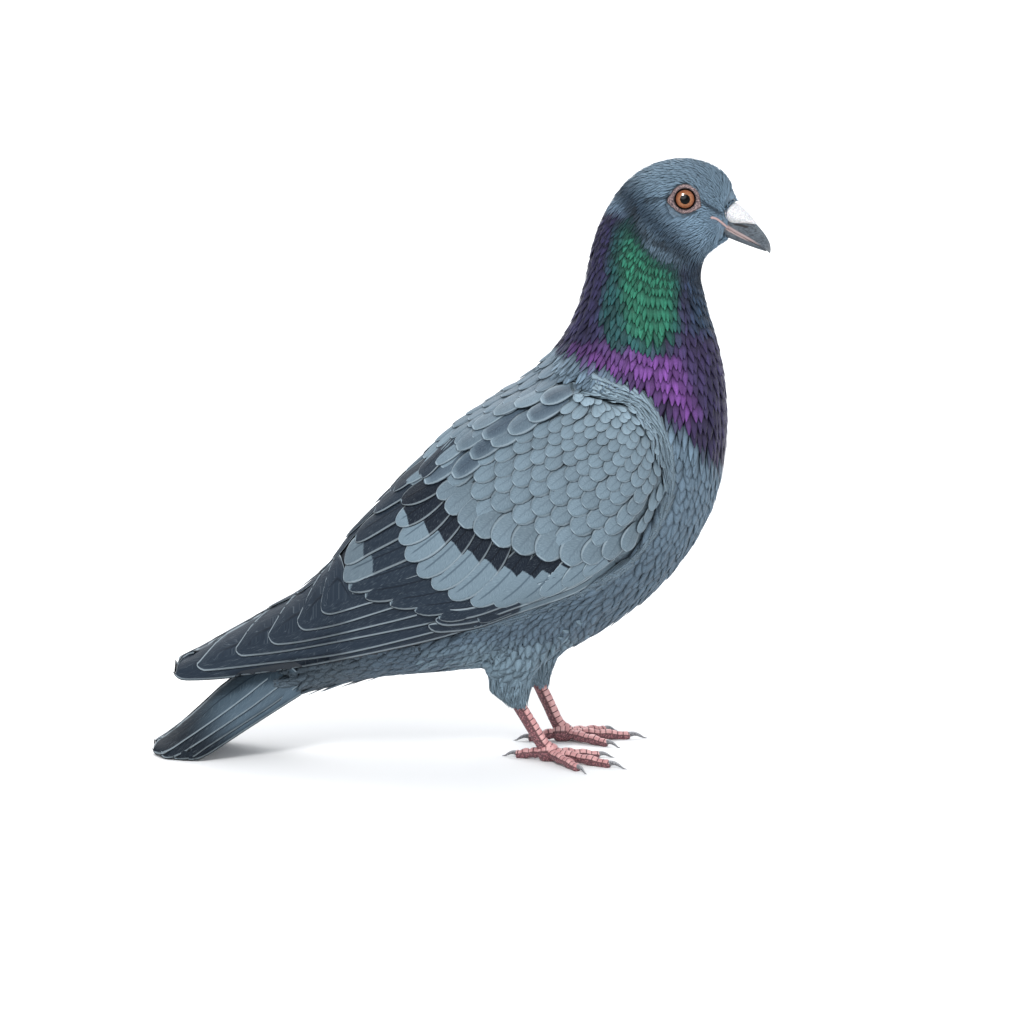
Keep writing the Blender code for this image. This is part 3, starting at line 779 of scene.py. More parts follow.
def off_wings(points, row):
    """Which feathers keep their rows from this one on clear of the folded wings."""
    middle = points.shape[2] // 2
    clear = np.ones(len(points), bool)
    for k in (row, points.shape[1] - 1):
        clear &= ~np.isin(owners(points[:, k, middle]), ("wing", "primaries"))
    return clear


def feathers(points, tint, uvs):
    return {"points": points, "tint": tint, "root_uv": uvs}


def flecked(tint, amount):
    """Tints that differ a little from feather to feather."""
    return tint * jitter(np.ones((len(tint), 1)), amount)


def pointing(degrees):
    return together(np.cos(np.radians(degrees)), np.sin(np.radians(degrees)))


def swung(ways, turn):
    """Ways of the side view turned by an angle in radians."""
    c, s = np.cos(turn), np.sin(turn)
    return together(ways[:, 0] * c - ways[:, 1] * s, ways[:, 0] * s + ways[:, 1] * c)


def picked(keep, *arrays):
    return tuple(a[keep] for a in arrays)


def head_feathers():
    pitch = lambda s: np.interp(s, (0, 2, 6, 7), (1.3, 1.5, 2.1, 2.6))
    roots, ways, station, uvs = tract(150, pitch, first=0.25, last=6.9)
    distance, towards = from_eye(roots)
    keep = np.isin(owners(roots), ("head", "neck")) & (distance > 6.3)
    roots, ways, station, uvs, distance, towards = picked(keep, roots, ways, station, uvs, distance, towards)
    # the feathers part round the eye
    near = smooth(distance, 11.0, 6.0) * np.clip(dot(ways, towards), 0, 1)
    ways = unit(ways - towards * (near * 1.3)[:, None])
    length = jitter(np.interp(station, (0, 2, 4, 6, 7), (2.4, 3.4, 4.4, 5.5, 7.0)), 0.15)
    width = jitter(np.interp(station, (0, 2, 4, 6, 7), (0.8, 1.05, 1.3, 1.6, 2.0)), 0.15)
    tip, _ = from_eye(roots + ways * (length * MM)[:, None])
    length = np.where(tip < 6.1, length * 0.45, length)
    ways = unit(ways + rng.normal(0, 0.07, ways.shape))
    points = vanes(
        HULL, roots, ways, length, width, strand_shape, rows=4, cols=2, sink=0.8, lift=0.22, camber=0.16
    )
    tint = flecked(body_tint(to_bird(points[:, 2, 1])), 0.14)
    return feathers(points, tint, uvs)


def neck_feathers():
    """Lance-shaped feathers, each with a bright streak of painted sheen down its middle, finer towards the
    head and in the lowest rows.
    """
    pitch = lambda s: np.interp(s, (6, 8, 11, 13), (3.4, 4.3, 4.9, 5.2))
    roots, ways, station, uvs = tract(84, pitch, first=5.6, last=14.2)
    bird = to_bird(roots)
    border = seen_height(bird) - purple_edge(bird[:, 0])
    keep = np.isin(owners(roots), ("head", "neck", "trunk")) & (border > 2.0)
    roots, ways, station, uvs, border = picked(keep, roots, ways, station, uvs, border)
    low = smooth(border, 30, 8)
    length = jitter(np.interp(station, (6, 8, 11, 13), (7.5, 10.5, 12.5, 13.0)), 0.1)
    width = jitter(np.interp(station, (6, 8, 11, 13), (2.7, 3.7, 5.0, 5.4)) * (1 - 0.35 * low), 0.1)
    ways = unit(ways + rng.normal(0, 0.06, ways.shape))
    points = vanes(
        HULL, roots, ways, length, width, lance_shape, rows=6, cols=4, sink=1.2, lift=0.45, camber=0.12
    )
    clear = off_wings(points, 3)
    points, uvs, low = picked(clear, points, uvs, low)
    bird = to_bird(points[:, 4, 2])
    base = body_tint(bird)
    bright = rng.uniform(0.55, 1.35, (len(bird), 1, 1, 1)) ** 1.3
    u = row_places(6)[None, :, None, None]
    v = np.linspace(-1, 1, 5)[None, None, :, None]
    sheen_stripe = smooth(u, 0.3, 0.7) * (1 - 0.75 * np.abs(v)) * (1 - 0.4 * low[:, None, None, None])
    glow = smooth(below_head(bird[:, 0], seen_height(bird)), -1, 6)[:, None, None, None]
    # painted sheen: a bright streak in each feather below the head's grey
    tint = base[:, None, None] * (0.50 + 0.05 * glow + 1.5 * glow * sheen_stripe * bright)
    return feathers(points, tint, uvs)


def body_feathers():
    """Soft rounded feathers of the breast, belly, rump and shoulders, that hardly show one by one."""
    pitch = lambda s: np.interp(s, (9, 12, 15, 18, 20), (3.6, 4.4, 5.0, 5.6, 5.4))
    roots, ways, station, uvs = tract(116, pitch, first=9.4, last=19.6)
    bird = to_bird(roots)
    border = seen_height(bird) - purple_edge(bird[:, 0])
    own = owners(roots)
    keep = (np.isin(own, ("trunk", "rump", "neck")) | ((own == "thigh") & (bird[:, 2] > 34))) & (border < 5)
    roots, ways, station, uvs = picked(keep, roots, ways, station, uvs)
    length = jitter(np.interp(station, (10, 12, 15, 18, 20), (9.5, 11.5, 13, 15, 12)), 0.15)
    width = jitter(np.interp(station, (10, 12, 15, 18, 20), (3.4, 5.0, 5.6, 5.4, 4.2)), 0.15)
    ways = unit(ways + rng.normal(0, 0.08, ways.shape))
    points = vanes(
        HULL, roots, ways, length, width, soft_shape, rows=5, cols=2, sink=1.4, lift=0.32, camber=0.07
    )
    clear = off_wings(points, 3)
    points, uvs = picked(clear, points, uvs)
    tint = flecked(body_tint(to_bird(points[:, 3, 1])), 0.10)
    return feathers(points, tint, uvs)


def thigh_feathers(side, sign):
    """Long soft feathers that run down the thigh and end in points over the ankle."""
    left = side == "left"
    levels = np.arange(50, 27.6, -1.5)
    groups = []
    for k, level in enumerate(levels):
        middle = np.interp(level, (21.4, 28, 34, 40, 46), (22.4, 19.3, 19.1, 20.6, 23.0))
        if left:
            middle += 8.6 + 0.36 * max(level - 30, 0)
        count = 34 if level > 30 else 26
        turns = (np.arange(count) + 0.5 * (k % 2)) / count * 2 * np.pi + rng.uniform(-0.08, 0.08, count)
        ways = together(np.cos(turns), np.sin(turns), 0 * turns)
        starts = to_row(np.tile((middle, sign * 18.0, level), (count, 1)))
        hits = LEGS.cast(starts, ways)
        good = ~np.isnan(hits[:, 0])
        hits, turns = picked(good, hits, turns)
        outside = np.linalg.norm(HULL.nearest(hits)[0] - hits, axis=1) < 1.6 * MM
        hits, turns = picked(outside, hits, turns)
        if len(hits):
            groups.append(np.hstack([hits, together(turns / 2 / np.pi, np.full(len(turns), level / 60))]))
    data = np.concatenate(groups)
    roots, uvs = data[:, :3], np.clip(data[:, 3:], 0.02, 0.98)
    height = roots[:, 2] / MM
    lean = np.interp(height, (24, 40), (0.35, -0.15))
    down = together(lean, 0 * lean, -1 + 0 * lean) + rng.normal(0, 0.11, (len(roots), 3))
    length = jitter(np.interp(height, (27, 33, 46), (6.5, 10.0, 14.0)), 0.2)
    width = jitter(np.interp(height, (22, 28, 46), (1.5, 2.0, 2.8)), 0.2)
    lift = np.interp(height, (22, 30, 46), (0.75, 0.55, 0.45))
    points = vanes(
        LEGS, roots, unit(down), length, width, strand_shape, rows=6, cols=2, sink=0.8, lift=lift, camber=0.14
    )
    tint = flecked(np.tile(THIGH, (len(roots), 1)), 0.25)
    return feathers(points, tint, uvs)


def flank_feathers():
    """Long soft feathers of the right flank that flow from under the wing over the thigh."""
    tips = []
    places, limits = (-20, -12, 3.5, 20, 27, 38, 46, 52), (38, 40.5, 45.5, 50.5, 55.5, 59.5, 62, 64)
    for row, level in enumerate(np.arange(60, 30, -2.6)):
        for x in np.arange(-20, 52, 3.6) + 1.8 * (row % 2):
            if level < np.interp(x, places, limits):
                tips.append((x, level))
    tips = np.array(tips) + rng.normal(0, 0.5, (len(tips), 2))
    fall = smooth(tips[:, 1] - 0.25 * (tips[:, 0] - 10), 52, 34)
    back = smooth(tips[:, 0], 8, -6)
    ways = blend(np.tile((-0.93, -0.42), (len(tips), 1)), (-0.32, -0.95), fall * (1 - back))
    under = owners(on_side(tips))
    keep = np.isin(under, ("trunk", "rump", "thigh")) | (tips[:, 0] > 19)
    tips, ways = picked(keep, tips, unit(ways + rng.normal(0, 0.08, ways.shape)))
    length, width = jitter(np.full(len(tips), 13.0), 0.15), jitter(np.full(len(tips), 4.2), 0.15)
    points, uvs = side_feathers(
        tips, ways, length, width=width, shape=soft_shape, rows=6, cols=2, sink=1.3, lift=0.75, camber=0.09
    )
    tint = body_tint(to_bird(points[:, 4, 1])) * 1.1
    tint = flecked(blend(tint, THIGH, smooth(tips[:, 1], 42, 32)), 0.14)
    return feathers(points, tint, uvs)


# ---------------------------------------------------------------- wings
# the wing is laid out as it is seen from the camera's side: x, and the height in the picture
LEADING_EDGE = np.array([
    (54, 143), (70, 135), (78, 122), (81, 106), (77.5, 90.5), (68, 76.5), (54, 66.5), (40, 59.5), (23, 53.5),
    (3.5, 48.5),
])
SCAPULAR_EDGE = np.array([(55, 141), (29, 126.5), (13.5, 117.5), (-4.5, 107), (-24, 98)])


def on_side(flat):
    """Points of the hull's right side under places of the side view."""
    starts = in_picture(np.asarray(flat, float)) - AWAY * OUTSIDE
    hits = HULL.cast(to_row(starts), AWAY)
    lost = np.isnan(hits[:, 0])
    if lost.any():
        hits[lost] = HULL.nearest(to_row(starts[lost] + AWAY * 120))[0]
    return hits


def side_feathers(tips, ways, length, **settings):
    """Feathers of the right side from where their tips are seen and which way they point there."""
    tips, ways = np.asarray(tips, float), unit(np.asarray(ways, float))
    length = np.broadcast_to(length, len(tips))
    bend = np.broadcast_to(settings.get("bend", 0.0), len(tips))
    shift = settings.get("skew", 0.0) * np.broadcast_to(settings["width"], len(tips)) / 2
    tips = tips - together(-ways[:, 1], ways[:, 0]) * (shift * (1 - settings["shape"](1.0)))[:, None]
    # a feather that bends comes in at half its bend from the chord, so its root is set back that way
    roots = tips - swung(ways, -bend / 2) * length[:, None]
    here, there = on_side(roots), on_side(roots + swung(ways, -bend) * 4)
    points = vanes(HULL, here, there - here, length, **settings)
    flat = np.clip(together((roots[:, 0] + 130) / 260, (roots[:, 1]) / 170), 0.02, 0.98)
    return points, flat


def to_edge(points):
    """Distance from the leading edge, and the edge's own direction there, down and back."""
    best = np.full(len(points), 1e9)
    way = np.zeros((len(points), 2))
    for a, b in zip(LEADING_EDGE[:-1], LEADING_EDGE[1:]):
        t = np.clip(((points - a) @ (b - a)) / ((b - a) @ (b - a)), 0, 1)
        distance = np.linalg.norm(points - a - t[:, None] * (b - a), axis=1)
        way[distance < best] = unit(b - a)
        best = np.minimum(best, distance)
    return best, way


# median coverts, the last row before the greater ones: tip x and height in the picture, angle, length, width
MEDIANS = np.array([
    (-9.5, 98.6, 212, 17, 9.5), (-5.3, 93.2, 222, 17, 10.5), (0.2, 88.0, 228, 18, 11.5),
    (6.4, 84.3, 228, 18, 12.0), (13.2, 81.0, 228, 19, 12.5), (21.4, 78.0, 230, 19, 13.0),
    (30.6, 75.4, 233, 19, 13.0), (40.2, 73.4, 234, 18, 12.5), (48.6, 73.2, 236, 16, 11.5),
    (56.0, 75.4, 236, 14, 10.5), (62.5, 79.2, 238, 12, 9.5),
])


def shaded(points, tint, dark=0.86):
    """The tint at each point of feathers that are darker at the root: painted shade where the feather above
    lies over it.
    """
    u = row_places(points.shape[1] - 1)[None, :, None, None]
    tint = tint[:, None, None] * (dark + (1.04 - dark) * smooth(u, 0.45, 0.95))
    return np.broadcast_to(tint, (*points.shape[:3], 3))


def covert_lattice():
    """Lesser coverts: rows that grow from the shoulder to the median coverts."""
    along, down = np.array([0.88, -0.475]), np.array([-0.475, -0.88])
    tips, sizes = [], []
    reach, row = 1.0, 0
    while reach < 76:
        growth = min(reach / 62, 1.0)
        step, gap = 2.7 + 4.1 * growth, 3.2 + 6.2 * growth
        for i in range(-22, 23):
            place = np.array([58, 140]) + down * reach + along * gap * (i + 0.5 * (row % 2))
            tips.append(place + rng.normal(0, 0.045 * gap, 2))
            sizes.append((step, gap, growth))
        reach += step
        row += 1
    tips, sizes = np.array(tips), np.array(sizes)
    low = MEDIANS[::-1, :2] + (1.5, 4.5)
    region = np.vstack([SCAPULAR_EDGE[::-1], LEADING_EDGE[:5] - (0.5, 0.5), low])
    keep = inside(region, tips[:, 0], tips[:, 1], 0.01) > 0.5
    tips, sizes = picked(keep, tips, sizes)
    distance, edge = to_edge(tips)
    ways = unit(blend(edge, np.tile((-0.76, -0.65), (len(tips), 1)), smooth(distance, 2, 24)))
    ways = unit(ways + rng.normal(0, 0.06, ways.shape))
    small = 0.66 + 0.34 * smooth(distance, 1, 16)
    length, width = sizes[:, 0] * 2.5 * small, jitter(sizes[:, 1] * 1.17 * small, 0.08)
    points, uvs = side_feathers(
        tips, ways, length, width=width, shape=scale_shape, rows=6, cols=4, sink=1.2, lift=0.5, camber=0.09
    )
    tint = flecked(wing_tint(to_bird(points[:, 4, 2])), 0.07)
    return feathers(points, shaded(points, tint), uvs)


def median_coverts():
    x, w, angle, length, width = MEDIANS.T
    points, uvs = side_feathers(
        together(x, w), pointing(angle), length, width=width, shape=scale_shape, rows=10, cols=6, sink=1.0,
        lift=1.4, camber=0.08,
    )
    tint = flecked(wing_tint(to_bird(points[:, 7, 3])) * 0.92, 0.05)
    return feathers(points, shaded(points, tint), uvs)


def even(rows, count):
    """count points at even distances along the smooth curve through rows, and how far along each is."""
    line = catmull(rows, 200)
    run = np.concatenate([[0], np.cumsum(np.linalg.norm(np.diff(line[:, :2], axis=0), axis=1))])
    at = np.linspace(0, run[-1], count)
    return np.stack([np.interp(at, run, line[:, k]) for k in range(line.shape[1])], -1), at / run[-1]


def islands(count, columns, box):
    """Texture places for big feathers: middles and sizes in a grid over the box (x0, y0, x1, y1)."""
    rows = math.ceil(count / columns)
    size = np.array([(box[2] - box[0]) / columns, (box[3] - box[1]) / rows])
    index = np.arange(count)
    middle = together(index % columns + 0.5, index // columns + 0.5) * size + box[:2]
    return middle, size * 0.86


# tip x and height in the picture, angle, length, width, bend and where its pale tip starts
GREATER = np.array([
    (-25.3, 97.1, 205, 27, 12.0, -0.10, 0.97), (-25.9, 88.7, 210, 28, 12.5, -0.20, 0.80),
    (-24.6, 81.7, 211, 30, 12.5, -0.28, 0.57), (-21.8, 74.9, 212, 32, 12.5, -0.35, 0.46),
    (-17.2, 68.6, 213, 33, 12.0, -0.40, 0.41), (-11.3, 63.6, 213, 34, 12.0, -0.45, 0.38),
    (-4.7, 59.3, 213, 35, 12.0, -0.50, 0.38), (3.9, 56.2, 213, 35, 11.5, -0.52, 0.39),
    (13.0, 55.6, 214, 34, 11.5, -0.52, 0.44), (22.0, 57.0, 215, 32, 11.0, -0.50, 0.46),
    (31.0, 59.8, 216, 30, 10.5, -0.48, 0.48), (40.0, 63.5, 217, 27, 10.0, -0.45, 0.50),
    (48.0, 68.0, 218, 24, 9.0, -0.40, 0.55),
])
TERTIALS = np.array([
    (-17.5, 109.0, 217, 32, 12.0, -0.02, 0.97), (-27.5, 100.2, 215, 36, 12.5, -0.02, 0.97),
    (-36.3, 91.5, 211, 40, 13.0, -0.05, 0.97), (-44.5, 81.7, 208, 44, 13.5, -0.08, 0.97),
    (-49.6, 73.3, 204, 48, 13.5, -0.16, 0.76), (-51.0, 66.8, 196, 52, 13.0, -0.28, 0.69),
    (-48.8, 62.6, 190, 56, 11.5, -0.36, 0.96), (-41.0, 59.0, 187, 56, 11.0, -0.38, 0.97),
    (-30.0, 56.0, 186, 54, 10.0, -0.40, 0.97), (-19.0, 52.6, 187, 50, 9.5, -0.40, 0.97),
    (-9.0, 49.6, 190, 46, 9.0, -0.40, 0.97), (6.0, 50.4, 196, 30, 8.0, -0.25, 0.97),
])
# lower edge of each long flight feather: x and height in the picture, from its tip's corner to its root
PRIMARIES = (
    ((-54.2, 56.5), (-53.4, 54.0), (-50.0, 53.3), (-43.0, 55.2), (-35.8, 57.5), (-22.0, 61.5), (-8.0, 66.0)),
    ((-63.6, 50.6), (-62.2, 47.9), (-58.5, 47.1), (-45.9, 49.7), (-27.9, 55.4), (-10.0, 61.0)),
    ((-75.0, 45.0), (-73.2, 42.2), (-69.0, 41.6), (-53.1, 44.3), (-22.1, 51.8), (-4.0, 57.0)),
    ((-88.0, 39.6), (-86.2, 37.5), (-82.0, 37.2), (-60.3, 40.3), (-12.1, 50.0), (4.0, 54.0)),
    ((-103.4, 33.9), (-101.6, 31.9), (-97.0, 31.5), (-74.7, 34.2), (-45.9, 38.1), (-12.1, 46.1), (4.0, 50.5)),
    ((-112.4, 31.2), (-110.8, 28.8), (-106.0, 27.8), (-87.7, 29.1),
     (-57.4, 33.8), (-12.1, 43.2), (6.0, 48.0)),
)
# the same for the narrow coverts along the wing's lower edge
EDGE_COVERTS = (
    ((-6.8, 54.0), (-5.0, 52.6), (-1.0, 52.2), (6.8, 53.6), (20.7, 58.6),
     (34.0, 63.6), (46.0, 68.4), (56.0, 75.0)),
    ((-9.8, 51.6), (-8.0, 50.2), (-4.0, 49.7), (6.8, 51.3), (20.7, 56.3),
     (34.6, 61.2), (46.3, 65.8), (58.0, 73.0)),
    ((-12.6, 49.4), (-11.0, 47.7), (-7.0, 47.0), (6.8, 48.9), (20.7, 53.9),
     (34.6, 58.7), (46.3, 63.1), (60.0, 71.0)),
)
# and for the upper feathers of the folded tail
TAIL_TOP = (
    ((-120.9, 1.0), (-119.6, -1.2), (-114.4, -0.6), (-107.2, 4.0), (-96.4, 11.5),
     (-84.8, 20.1), (-71.8, 30.5), (-63.0, 35.3)),
    ((-117.4, -1.5), (-115.4, -3.0), (-110.8, -2.0), (-103.6, 2.1), (-90.6, 10.7),
     (-79.1, 18.7), (-68.0, 27.4), (-62.0, 31.4)),
    ((-112.4, -2.6), (-110.2, -3.6), (-105.0, -2.6), (-99.0, 1.4),
     (-86.0, 9.8), (-74.0, 17.6), (-62.0, 26.3)),
    ((-107.6, -2.9), (-105.0, -3.8), (-100.0, -2.0), (-94.2, 1.6),
     (-82.0, 9.6), (-70.4, 17.0), (-62.5, 22.0)),
)


def along(line, places):
    """Points at the given parts of the way along the smooth curve through line, from its end to its start."""
    points = catmull(line, 240)[::-1]
    run = np.concatenate([[0], np.cumsum(np.linalg.norm(np.diff(points, axis=0), axis=1))])
    return np.stack([np.interp(places * run[-1], run, points[:, k]) for k in (0, 1)], -1)


def from_side(surface, flat):
    """The starts and lengths, in metres, of rays that meet a surface under places of the side view."""
    starts = to_row(in_picture(flat)) - AWAY * 0.15
    hits = surface.cast(starts.reshape(-1, 3), AWAY).reshape(starts.shape)
    return starts, (hits - starts) @ AWAY


def skyline(surface, x, levels):
    """The height in the picture of a surface's upper outline, as a function of x."""
    depth = from_side(surface, np.stack(np.meshgrid(x, levels, indexing="ij"), -1))[1]
    top = np.where(np.isnan(depth), levels[0], levels).max(1) - 0.2
    return lambda place: np.interp(place, x, top)


def laid(surface, edges, top, reach, cut, lift, roll=0.04, camber=0.008, rows=30, cols=8, tips=None):
    """Big feathers of the right side whose lower edges are seen at the given lines. Each goes up by reach(x),
    or to the height top(x); its far corner is cut back over the last cut millimetres. A row of points runs
    across the outside of the feather and back along its inside. Behind tips they stay on the right side."""
    s, v = row_places(rows), np.linspace(-1, 1, cols + 1)
    lower = np.array([along(line, s) for line in edges])
    x = lower[..., 0]
    tall = np.minimum(reach(x), top(x) - lower[..., 1])
    back = np.clip((x - x[:, -1:]) / np.reshape(cut, (-1, 1)), 0.0, 1)
    tall = np.maximum(tall, 0.6) * np.maximum(np.sqrt(np.sin(np.pi / 2 * back)), 0.03)
    flat = lower[:, :, None] + together(0 * tall, tall)[:, :, None] * ((1 - v) / 2)[:, None]
    starts, depth = from_side(surface, flat)
    lost = np.isnan(depth)
    if tips:
        room = (np.interp(flat[..., 0], (tips - 8, tips), (-0.3, 9)) * MM - starts[..., 1]) / AWAY[1]
        lost = lost | (depth > room)
        depth = np.minimum(depth, room)
    # beyond the outline a feather goes on at the depth of its nearest part
    for axis in (2, 1):
        depth = np.moveaxis(depth, axis, 0)
        for order in (range(1, len(depth)), range(len(depth) - 2, -1, -1)):
            for k in order:
                other = depth[k - 1 if order.step > 0 else k + 1]
                depth[k] = np.where(np.isnan(depth[k]), other, depth[k])
        depth = np.moveaxis(depth, 0, axis)
    place = starts + depth[..., None] * AWAY
    up = surface.nearest(place.reshape(-1, 3))[1].reshape(place.shape)
    up = unit(np.where(lost[..., None], -AWAY, up) - 0.3 * AWAY)
    height = np.reshape(lift, (-1, 1)) * np.minimum(s / 0.25, 1) - 1.0 * (1 - s) ** 9
    height = height[:, :, None] + roll * v + camber * tall[:, :, None] / 2 * (1 - v**2)
    points = place + up * height[..., None] * MM
    under = points - up * ((0.05 + 0.10 * (1 - v**2)) * MM)[:, None]
    points = np.concatenate([points, under[:, :, -2::-1]], 2)
    points[..., 2] = np.maximum(points[..., 2], FLOOR_GAP)
    # rims keep their width however tall the feather is
    near = np.clip(1 - tall[:, :, None] * (1 - np.abs(v)) / 2 / RIM_SPAN, 0.12, 1) * np.where(v < 0, -1, 1)
    return points, np.concatenate([near, near[:, :, -2::-1]], 2)


def from_table(table, shape, rows, colours, start, **settings):
    """Big feathers of the wing. colours are those of the root, the middle and the tip; start is where the
    middle's begins."""
    x, w, angle, length, width, bend, pale = table.T
    points, _ = side_feathers(
        together(x, w), pointing(angle), length, width=width, bend=bend, shape=shape, rows=rows, cols=6,
        **settings,
    )
    return coloured(points, colours, start, pale)


def coloured(points, colours, start, pale, **more):
    """Feathers whose colour changes from the root's to the middle's at start, and to the tip's at pale."""
    root, middle, tip = (np.tile(colour, (len(points), 1)) for colour in colours)
    marks = together(start, pale + np.zeros(len(points)), 0.0)
    return {"points": points, "tint": shaded(points, root), "bar": middle, "end": tip, "marks": marks} | more


def greater_coverts():
    return from_table(
        GREATER, scale_shape, 14, (COVERT, BAR, COVERT_TIP), 0.05, sink=0.9, lift=1.3, camber=0.06, roll=0.3,
        curl=0.8,
    )


def tertials():
    lift = np.linspace(1.25, 0.9, len(TERTIALS))
    return from_table(
        TERTIALS, blade_shape, 16, (FLIGHT, FLIGHT, FLIGHT_TIP), 0.12, sink=0.9, lift=lift, camber=0.05,
        roll=0.3, curl=0.8, skew=0.35,
    )


def primaries():
    ridge = skyline(HULL, np.arange(-113, 40, 1.0), np.arange(28, 160, 0.3))
    points, across = laid(
        HULL, PRIMARIES, ridge, lambda x: 7.0 + 3.5 * np.maximum(0, -42 - x), (5, 11, 12, 13, 13, 4),
        (0.62, 0.50, 0.38, 0.26, 0.14, 0.02), tips=-98,
    )
    return coloured(points, (FLIGHT, FLIGHT, FLIGHT_TIP), -1.0, 1.2, across=across)


def edge_coverts():
    high = lambda x: 200 + 0 * x
    points, across = laid(
        HULL, EDGE_COVERTS, high, lambda x: 4.5 + 0 * x, (4, 4, 4), (0.95, 0.80, 0.65), rows=20, cols=4
    )
    return coloured(points, (COVERT, FLIGHT, FLIGHT_TIP), 0.5, 1.2, across=across)


# tip x and height in the picture, length, and how dark the middle is
SCAPULARS = np.array([
    (31.2, 134.6, 14, 0.9), (20.7, 134.6, 15, 0.2), (26.1, 129.1, 14, 0.9), (12.5, 131.0, 17, 0.3),
    (17.9, 124.8, 15, 0.6), (3.9, 126.4, 18, 0.35), (8.2, 122.1, 17, 1.0), (11.7, 119.3, 15, 0.45),
    (-2.3, 117.8, 19, 0.5), (3.5, 114.3, 18, 1.0), (-11.3, 113.1, 20, 0.1), (-4.3, 108.0, 19, 1.0),
    (-23.0, 103.7, 22, 0.15), (-14.8, 104.1, 20, 0.9),
])


def scapulars():
    """Broad feathers with dark middles in lanes between the back and the coverts."""
    x, w, length, dark = SCAPULARS.T
    points, uvs = side_feathers(
        together(x, w), pointing(np.interp(w, (104, 134), (218, 208))), length * 1.25, width=11.0,
        shape=scale_shape, rows=10, cols=6, sink=0.6, lift=1.15, camber=0.08, roll=0.3,
    )
    n, r, c = points.shape[:3]
    bird = to_bird(points[:, 6, 3])
    pale = np.broadcast_to(wing_tint(bird)[:, None, None], (n, r, c, 3))
    u = row_places(r - 1)[None, :, None] + np.zeros((n, r, c))
    v = np.linspace(-1, 1, c)[None, None] + 0 * u
    spot = smooth(np.abs(v), 0.95, 0.5) * smooth(u, 0.97, 0.82)
    tint = blend(pale, (0.045, 0.070, 0.098), spot * dark[:, None, None])
    return feathers(points, tint, uvs)


def mantle():
    """The back's feathers between the wings: pale at the shoulders, dark and long above the rump."""
    roots = []
    for row, x in enumerate(np.arange(-50, 45, 5.6)):
        for y in (np.arange(-3, 4) + 0.5 * (row % 2)) * np.interp(x, (-66, 0), (4.2, 5.4)):
            if abs(y) < np.interp(x, (-16, -6), (2.4, 20)):
                roots.append((x + rng.normal(0, 0.4), y + rng.normal(0, 0.3), 200))
    roots = np.array(roots)
    here = HULL.cast(to_row(roots), -UP)
    x = roots[:, 0]
    lengths = np.interp(x, (-66, -22, 44), (34, 25, 13))
    width = jitter(np.interp(x, (-66, -22, -8, 44), (5.5, 6.0, 9.0, 7.5)), 0.08)
    ways = together(-1 + 0 * x, 0.02 * roots[:, 1], -1 + 0 * x) + rng.normal(0, 0.04, (len(roots), 3))
    points = vanes(
        HULL, here, unit(ways), lengths, width, scale_shape, rows=8, cols=4, sink=1.0, lift=0.75, camber=0.1
    )
    dark = np.array(FLIGHT) * 1.15
    tint = flecked(layered(BACK, len(x), (COVERT, smooth(x, 25, 0)), (dark, smooth(x, -4, -8))), 0.08)
    uvs = np.clip(together((x + 130) / 260, 0.5 + roots[:, 1] / 60), 0.02, 0.98)
    clear = np.isin(owners(points[:, 5, 2]), ("wing", "trunk", "primaries"))
    return feathers(*picked(clear, points, shaded(points, tint), uvs))


def edge_feathers():
    """Feathers that follow the wing's leading edge down and back."""
    line, t = even(LEADING_EDGE, 54)
    groups = []
    for lane in range(5):
        inward = np.array([(-0.5, -0.8)]) * (lane - 1.2) * 1.5
        tips = line[1:] + inward + rng.normal(0, 0.2, (53, 2)) + np.diff(line, axis=0) * 0.4 * (lane % 3)
        ways = unit(np.diff(line, axis=0)) + rng.normal(0, 0.03, (53, 2))
        points, uvs = side_feathers(
            tips, ways, 13.0 + 3 * t[1:], width=3.4 + 1.0 * t[1:], shape=strand_shape, rows=6, cols=2,
            sink=1.2, lift=0.75 - 0.1 * lane, camber=0.12,
        )
        tint = blend(wing_tint(to_bird(points[:, 3, 1])), BREAST, 0.1 + 0.6 * t[1:])
        tint = flecked(tint, 0.10)
        groups.append(feathers(points, tint, uvs))
    return groups


def mirrored(group):
    """The same feathers on the other side. The grid is read the other way across, so its faces look out."""
    twin = dict(group)
    twin["points"] = group["points"][:, :, ::-1] * (1, -1, 1)
    if group["tint"].ndim == 4:
        twin["tint"] = group["tint"][:, :, ::-1]
    if "across" in group:
        twin["across"] = group["across"][:, :, ::-1]
    return twin


# ---------------------------------------------------------------- tail
# x, height of the ridge, half width, drop of the edges and thickness of the folded tail
TAIL = np.array([
    (-54, 44.0, 14.0, 10.5, 8.6), (-60, 43.5, 15.0, 12.0, 9.0), (-72, 39.6, 17.0, 14.0, 9.0),
    (-84, 33.6, 18.5, 15.5, 8.5), (-94, 25.8, 19.0, 15.3, 7.0), (-103, 17.2, 19.0, 12.4, 4.4),
    (-111, 9.8, 17.5, 7.6, 2.4), (-117, 5.2, 14.5, 3.8, 1.6), (-120.5, 3.0, 9.0, 1.3, 1.2),
])[::-1]


def on_tail(x, across):
    """Places under the tail's arch: x, and how far to the right edge from 0 to 1."""
    crest, half, drop, thick = (np.interp(x, TAIL[:, 0], TAIL[:, k]) for k in range(1, 5))
    return together(x, -half * across, crest - drop * across**2 - thick * np.sqrt(1 - across**4))


def darkening(group):
    """Tail feathers that darken towards their tips."""
    u = row_places(group["points"].shape[1] - 1)
    tint = blend(np.tile(TAIL_GREY, (len(u), 1)), TAIL_END, smooth(u, 0.45, 0.80))
    return group | {"tint": np.broadcast_to(tint[None, :, None], group["points"].shape)}


